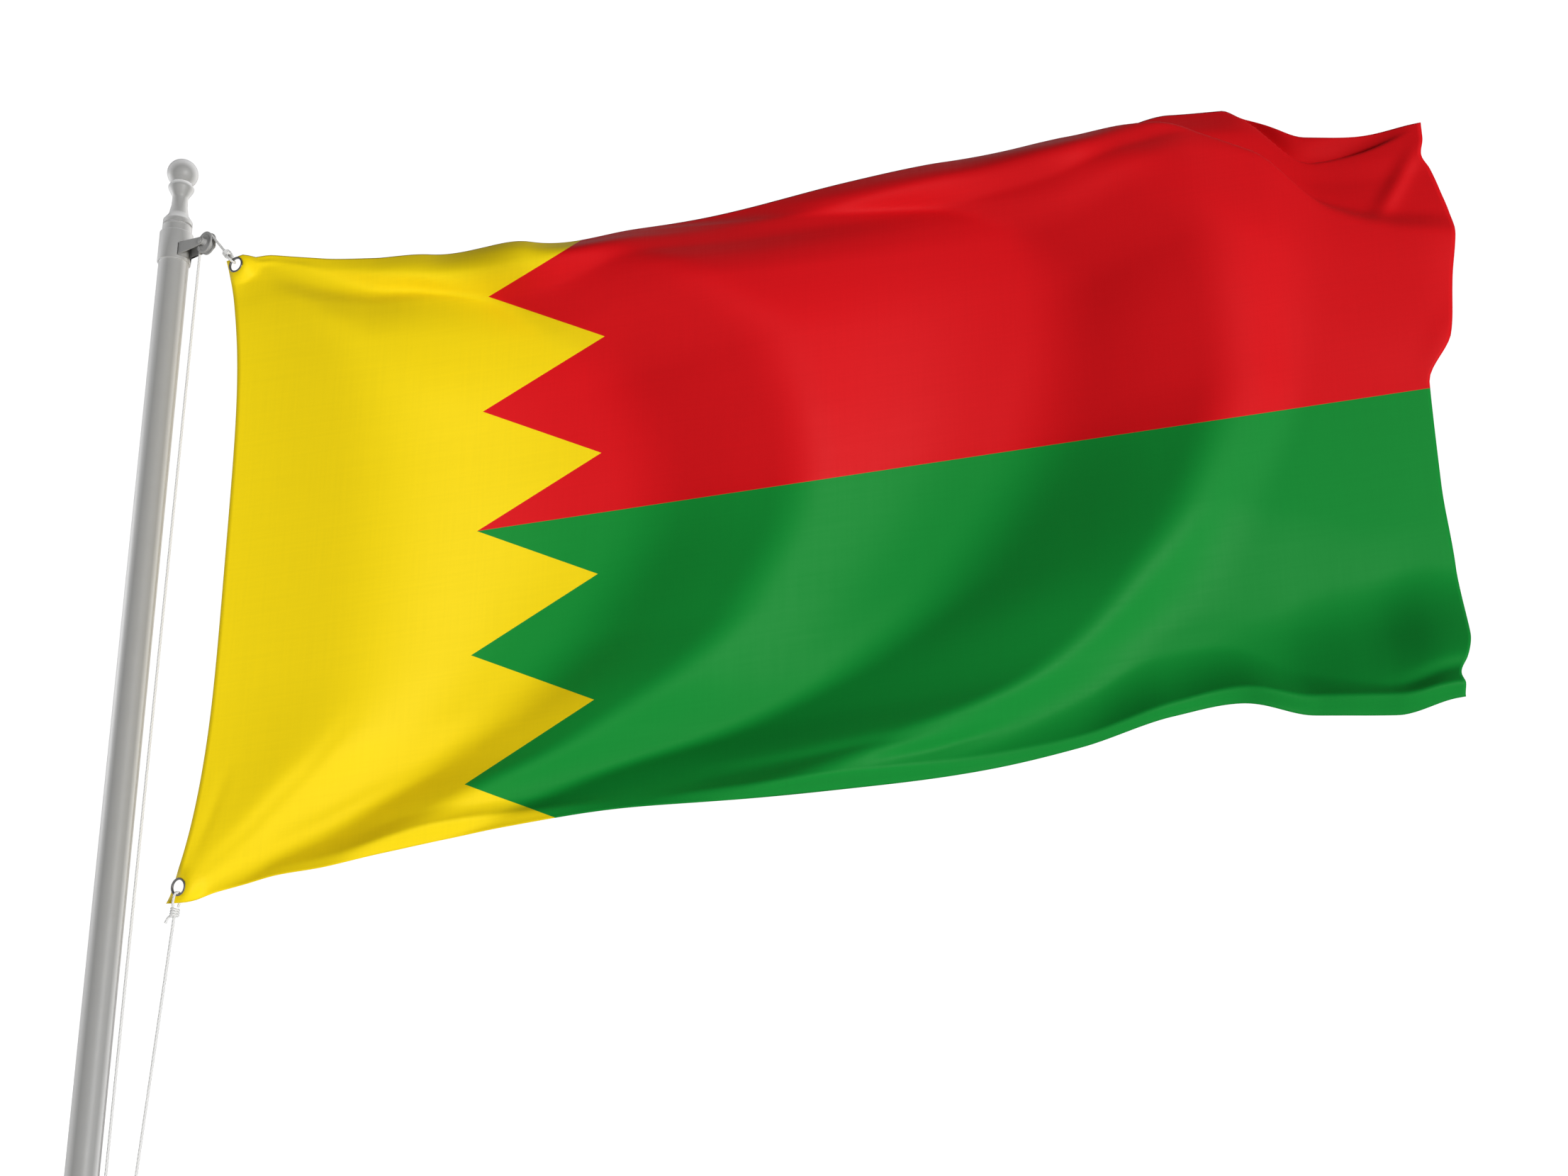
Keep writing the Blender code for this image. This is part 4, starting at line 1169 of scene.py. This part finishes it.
class FLAG_OT_make_bracket(bpy.types.Operator):
    """Makes the bent bracket and the headed pin that carries the wheel"""

    bl_idname = "city_flag.make_bracket"
    bl_label = "Make bracket and pin"

    def execute(self, context):
        finish = bracket_finish(context)
        web = SLEEVE_RADIUS + GAP + PLATE / 2
        aside = (BRACKET_WIDTH - PLATE) / 2
        ear_end = arc((WHEEL_REACH, WHEEL_HEIGHT), EAR_END_RADIUS, -pi / 2, pi / 2, 24)
        bm = bmesh.new()
        corners = []
        for side in (-aside, aside):
            low, high = (bm.verts.new(in_rope_plane(web, z, side)) for z in (WEB_LOW, WEB_HIGH))
            ear = [bm.verts.new(in_rope_plane(reach, z, side)) for reach, z in ear_end]
            bm.faces.new([low, *ear, high])
            corners.append((low, high))
        (low_a, high_a), (low_b, high_b) = corners
        bm.faces.new((high_a, high_b, low_b, low_a))
        bends = [bm.edges.get(pair) for pair in corners]
        bmesh.ops.bevel(
            bm,
            geom=bends,
            offset=BEND_ROUND,
            offset_type="OFFSET",
            segments=4,
            profile=0.5,
            affect="EDGES",
            material=-1,
        )
        bmesh.ops.recalc_face_normals(bm, faces=bm.faces)
        bracket = piece_from(bm, "bent_bracket", finish, ROOT, "bracket_metal", "bracket")
        thick = bracket.modifiers.new("Plate", "SOLIDIFY")
        thick.thickness = PLATE
        thick.offset = 0
        thick.use_even_offset = True
        soft = bracket.modifiers.new("Edges", "BEVEL")
        soft.width = context.scene.flag_pole.edge_round
        soft.segments = 3
        soft.limit_method = "ANGLE"
        soft.angle_limit = radians(50)
        soft.harden_normals = True
        self.make_pin(finish)
        return {"FINISHED"}

    def make_pin(self, finish):
        inner = BRACKET_WIDTH / 2 + GAP
        outer = inner + PIN_HEAD
        dome = [
            (PIN_HEAD_RADIUS * sin(a), outer - 0.0009 + 0.0009 * cos(a))
            for a in np.linspace(0, pi / 2, 7)
        ]
        half = dome + [(PIN_HEAD_RADIUS, inner), (PIN_RADIUS, inner)]
        profile = half + [(radius, -height) for radius, height in reversed(half)]
        bm = spun(profile, 48)
        bmesh.ops.transform(bm, matrix=wheel_matrix(), verts=bm.verts)
        sharpen(piece_from(bm, "headed_pin", finish, ROOT, "bracket_metal", "wheel_pin"))


class FLAG_OT_make_wheel(bpy.types.Operator):
    """Makes the grooved pulley wheel, which turns on its pin"""

    bl_idname = "city_flag.make_wheel"
    bl_label = "Make pulley wheel"

    def execute(self, context):
        bore = PIN_RADIUS + GAP
        half = WHEEL_HALF_WIDTH
        hub_half = BRACKET_WIDTH / 2 - PLATE - GAP
        groove_radius = ROPE_RADIUS + GROOVE_CLEARANCE
        small = 0.0008
        groove = arc((ROPE_ROUND_WHEEL, 0), groove_radius, pi / 2, 3 * pi / 2, 24)
        face = half - FACE_RECESS
        upper = [
            (bore, hub_half),
            (HUB_RADIUS - HUB_ROUND, hub_half),
            (HUB_RADIUS, hub_half - HUB_ROUND),
            (HUB_RADIUS, half - HUB_FILLET),
            (HUB_RADIUS + HUB_FILLET, face),
            (WHEEL_RADIUS - RIM_INNER, face),
            (WHEEL_RADIUS - RIM_OUTER, half),
        ]
        upper += arc((WHEEL_RADIUS - small, half - small), small, pi / 2, 0, 4)
        lower = [(radius, -height) for radius, height in reversed(upper)]
        lip = [(WHEEL_RADIUS, groove_radius + 0.0003), (WHEEL_RADIUS - 0.0005, groove_radius)]
        profile = upper + lip + groove + [(r, -h) for r, h in reversed(lip)] + lower
        bm = spun(profile, 96, ring=True)
        bmesh.ops.transform(bm, matrix=wheel_matrix(), verts=bm.verts)
        wheel = piece_from(
            bm, "grooved_wheel", bracket_finish(context), PULLEY, "bracket_metal", "pulley_wheel"
        )
        sharpen(wheel, 30)
        return {"FINISHED"}


class FLAG_OT_make_tie_arm(bpy.types.Operator):
    """Makes the clamp ring low on the pole and the rod that the halyard is wound on"""

    bl_idname = "city_flag.make_tie_arm"
    bl_label = "Make tie arm"

    def execute(self, context):
        bore = POLE_RADIUS + GAP
        top, bottom = ARM_HEIGHT + CLAMP_HEIGHT / 2, ARM_HEIGHT - CLAMP_HEIGHT / 2
        small = 0.001
        profile = [(bore, top), (CLAMP_RADIUS - small, top), (CLAMP_RADIUS, top - small)]
        profile += [(CLAMP_RADIUS, bottom + small), (CLAMP_RADIUS - small, bottom), (bore, bottom)]
        bm = spun(profile, 72, ring=True)
        start = CLAMP_RADIUS - ROD_ROUND
        rod = [
            (0, ARM_REACH),
            (ARM_RADIUS - ROD_ROUND, ARM_REACH),
            (ARM_RADIUS, ARM_REACH - ROD_ROUND),
        ]
        rod += [(ARM_RADIUS, start + 0.004), (ARM_RADIUS + 0.002, start), (0, start)]
        arm = spun(rod, 48)
        bmesh.ops.transform(
            arm, matrix=frame_at(UP * ARM_HEIGHT, UP, OUTWARD), verts=arm.verts
        )
        mesh = bpy.data.meshes.new("tie_rod")
        arm.to_mesh(mesh)
        arm.free()
        bm.from_mesh(mesh)
        bpy.data.meshes.remove(mesh)
        finish = bracket_finish(context)
        sharpen(piece_from(bm, "clamped_tie_arm", finish, ROOT, "bracket_metal", "tie_arm"))
        return {"FINISHED"}


# Studio


class FLAG_OT_set_studio(bpy.types.Operator):
    """Sets the pale floor, the soft lights and the camera"""

    bl_idname = "city_flag.set_studio"
    bl_label = "Set studio"

    def execute(self, context):
        scene = context.scene
        settings = scene.flag_studio
        scene.view_settings.view_transform = "Standard"
        camera = bpy.data.objects.new("camera", bpy.data.cameras.new("camera"))
        camera.location = EYE
        camera.rotation_euler = (CAMERA_TILT, 0, 0)
        camera.data.sensor_width = CAMERA_SENSOR
        camera.data.lens = CAMERA_LENS
        camera.data.clip_end = CAMERA_REACH
        scene.collection.objects.link(camera)
        scene.camera = camera
        self.make_floor(scene, settings)
        key = bpy.data.lights.new("key", "SUN")
        key.energy = settings.key_strength
        key.angle = KEY_SPREAD
        self.place_light(scene, key, KEY_PLACE, KEY_TARGET)
        side = bpy.data.lights.new("side", "AREA")
        side.shape = "DISK"
        side.size = SIDE_SIZE
        side.energy = settings.rim_power
        self.place_light(scene, side, SIDE_PLACE, SIDE_TARGET)
        self.set_sky(scene, settings)
        return {"FINISHED"}

    def make_floor(self, scene, settings):
        bm = bmesh.new()
        bmesh.ops.create_grid(bm, x_segments=1, y_segments=1, size=FLOOR_HALF)
        mesh = bpy.data.meshes.new("floor")
        bm.to_mesh(mesh)
        bm.free()
        material, wires, shader = new_material("Pale floor")
        shader.inputs["Base Color"].default_value = (*settings.floor_colour, 1)
        shader.inputs["Roughness"].default_value = 0.9
        shader.inputs["Specular IOR Level"].default_value = 0.1
        shader.inputs["Emission Color"].default_value = (1, 1, 1, 1)
        seen = wires.node("ShaderNodeLightPath").outputs["Is Camera Ray"]
        glow = wires.maths("MULTIPLY_ADD", seen, FLOOR_SEEN, FLOOR_GLOW)
        wires.link(glow, shader.inputs["Emission Strength"])
        mesh.materials.append(material)
        floor = bpy.data.objects.new("floor", mesh)
        scene.collection.objects.link(floor)
        # The key light comes from a little below the horizon, and the floor lets it by
        floor.visible_shadow = False

    def place_light(self, scene, light, place, target):
        lamp = bpy.data.objects.new(light.name, light)
        lamp.location = place
        aim = Vector(target) - Vector(place)
        lamp.rotation_euler = aim.to_track_quat("-Z", "Y").to_euler()
        scene.collection.objects.link(lamp)

    def set_sky(self, scene, settings):
        """Even white light, brighter behind the flag, on a white ground."""
        world = scene.world or bpy.data.worlds.new("World")
        scene.world = world
        world.use_nodes = True
        wires = Wiring(world.node_tree)
        sky = world.node_tree.nodes["Background"]
        sky.inputs["Color"].default_value = (1, 1, 1, 1)
        towards = wires.node("ShaderNodeSeparateXYZ")
        wires.link(wires.node("ShaderNodeTexCoord").outputs["Generated"], towards.inputs[0])
        front, back = settings.sky_strength, settings.back_strength
        fill = wires.blend(towards.outputs[1], 0.3, 0.9, front, back)
        seen = wires.node("ShaderNodeLightPath").outputs["Is Camera Ray"]
        unseen = wires.maths("MULTIPLY", fill, wires.maths("SUBTRACT", 1.0, seen))
        strength = wires.maths("MULTIPLY_ADD", seen, SEEN_BACKDROP, unseen)
        wires.link(strength, sky.inputs["Strength"])


OPERATORS = (
    FLAG_OT_set_studio,
    FLAG_OT_make_halyard,
    FLAG_OT_make_eyelets,
    FLAG_OT_make_cloth,
    FLAG_OT_make_pole,
    FLAG_OT_make_bracket,
    FLAG_OT_make_wheel,
    FLAG_OT_make_tie_arm,
)


class FLAG_PT_city_flag(bpy.types.Panel):
    """Lists the steps that dress the flag."""

    bl_idname = "FLAG_PT_city_flag"
    bl_label = "City Flag"
    bl_space_type = "VIEW_3D"
    bl_region_type = "UI"
    bl_category = "City Flag"

    def draw(self, context):
        column = self.layout.column()
        for name, group in SETTINGS.items():
            for label in group.__annotations__:
                column.prop(getattr(context.scene, name), label)
        for operator in OPERATORS:
            column.operator(operator.bl_idname)


def register():
    for group in SETTINGS.values():
        bpy.utils.register_class(group)
    for name, group in SETTINGS.items():
        setattr(bpy.types.Scene, name, bpy.props.PointerProperty(type=group))
    for item in (*OPERATORS, FLAG_PT_city_flag):
        bpy.utils.register_class(item)


def unregister():
    for item in reversed((*OPERATORS, FLAG_PT_city_flag)):
        bpy.utils.unregister_class(item)
    for name in SETTINGS:
        delattr(bpy.types.Scene, name)
    for group in SETTINGS.values():
        bpy.utils.unregister_class(group)


def main():
    register()
    bpy.ops.city_flag.set_studio()
    bpy.ops.city_flag.make_halyard()
    bpy.ops.city_flag.make_eyelets()
    bpy.ops.city_flag.make_cloth()
    bpy.ops.city_flag.make_pole()
    bpy.ops.city_flag.make_bracket()
    bpy.ops.city_flag.make_wheel()
    bpy.ops.city_flag.make_tie_arm()


if __name__ == "__main__":
    main()
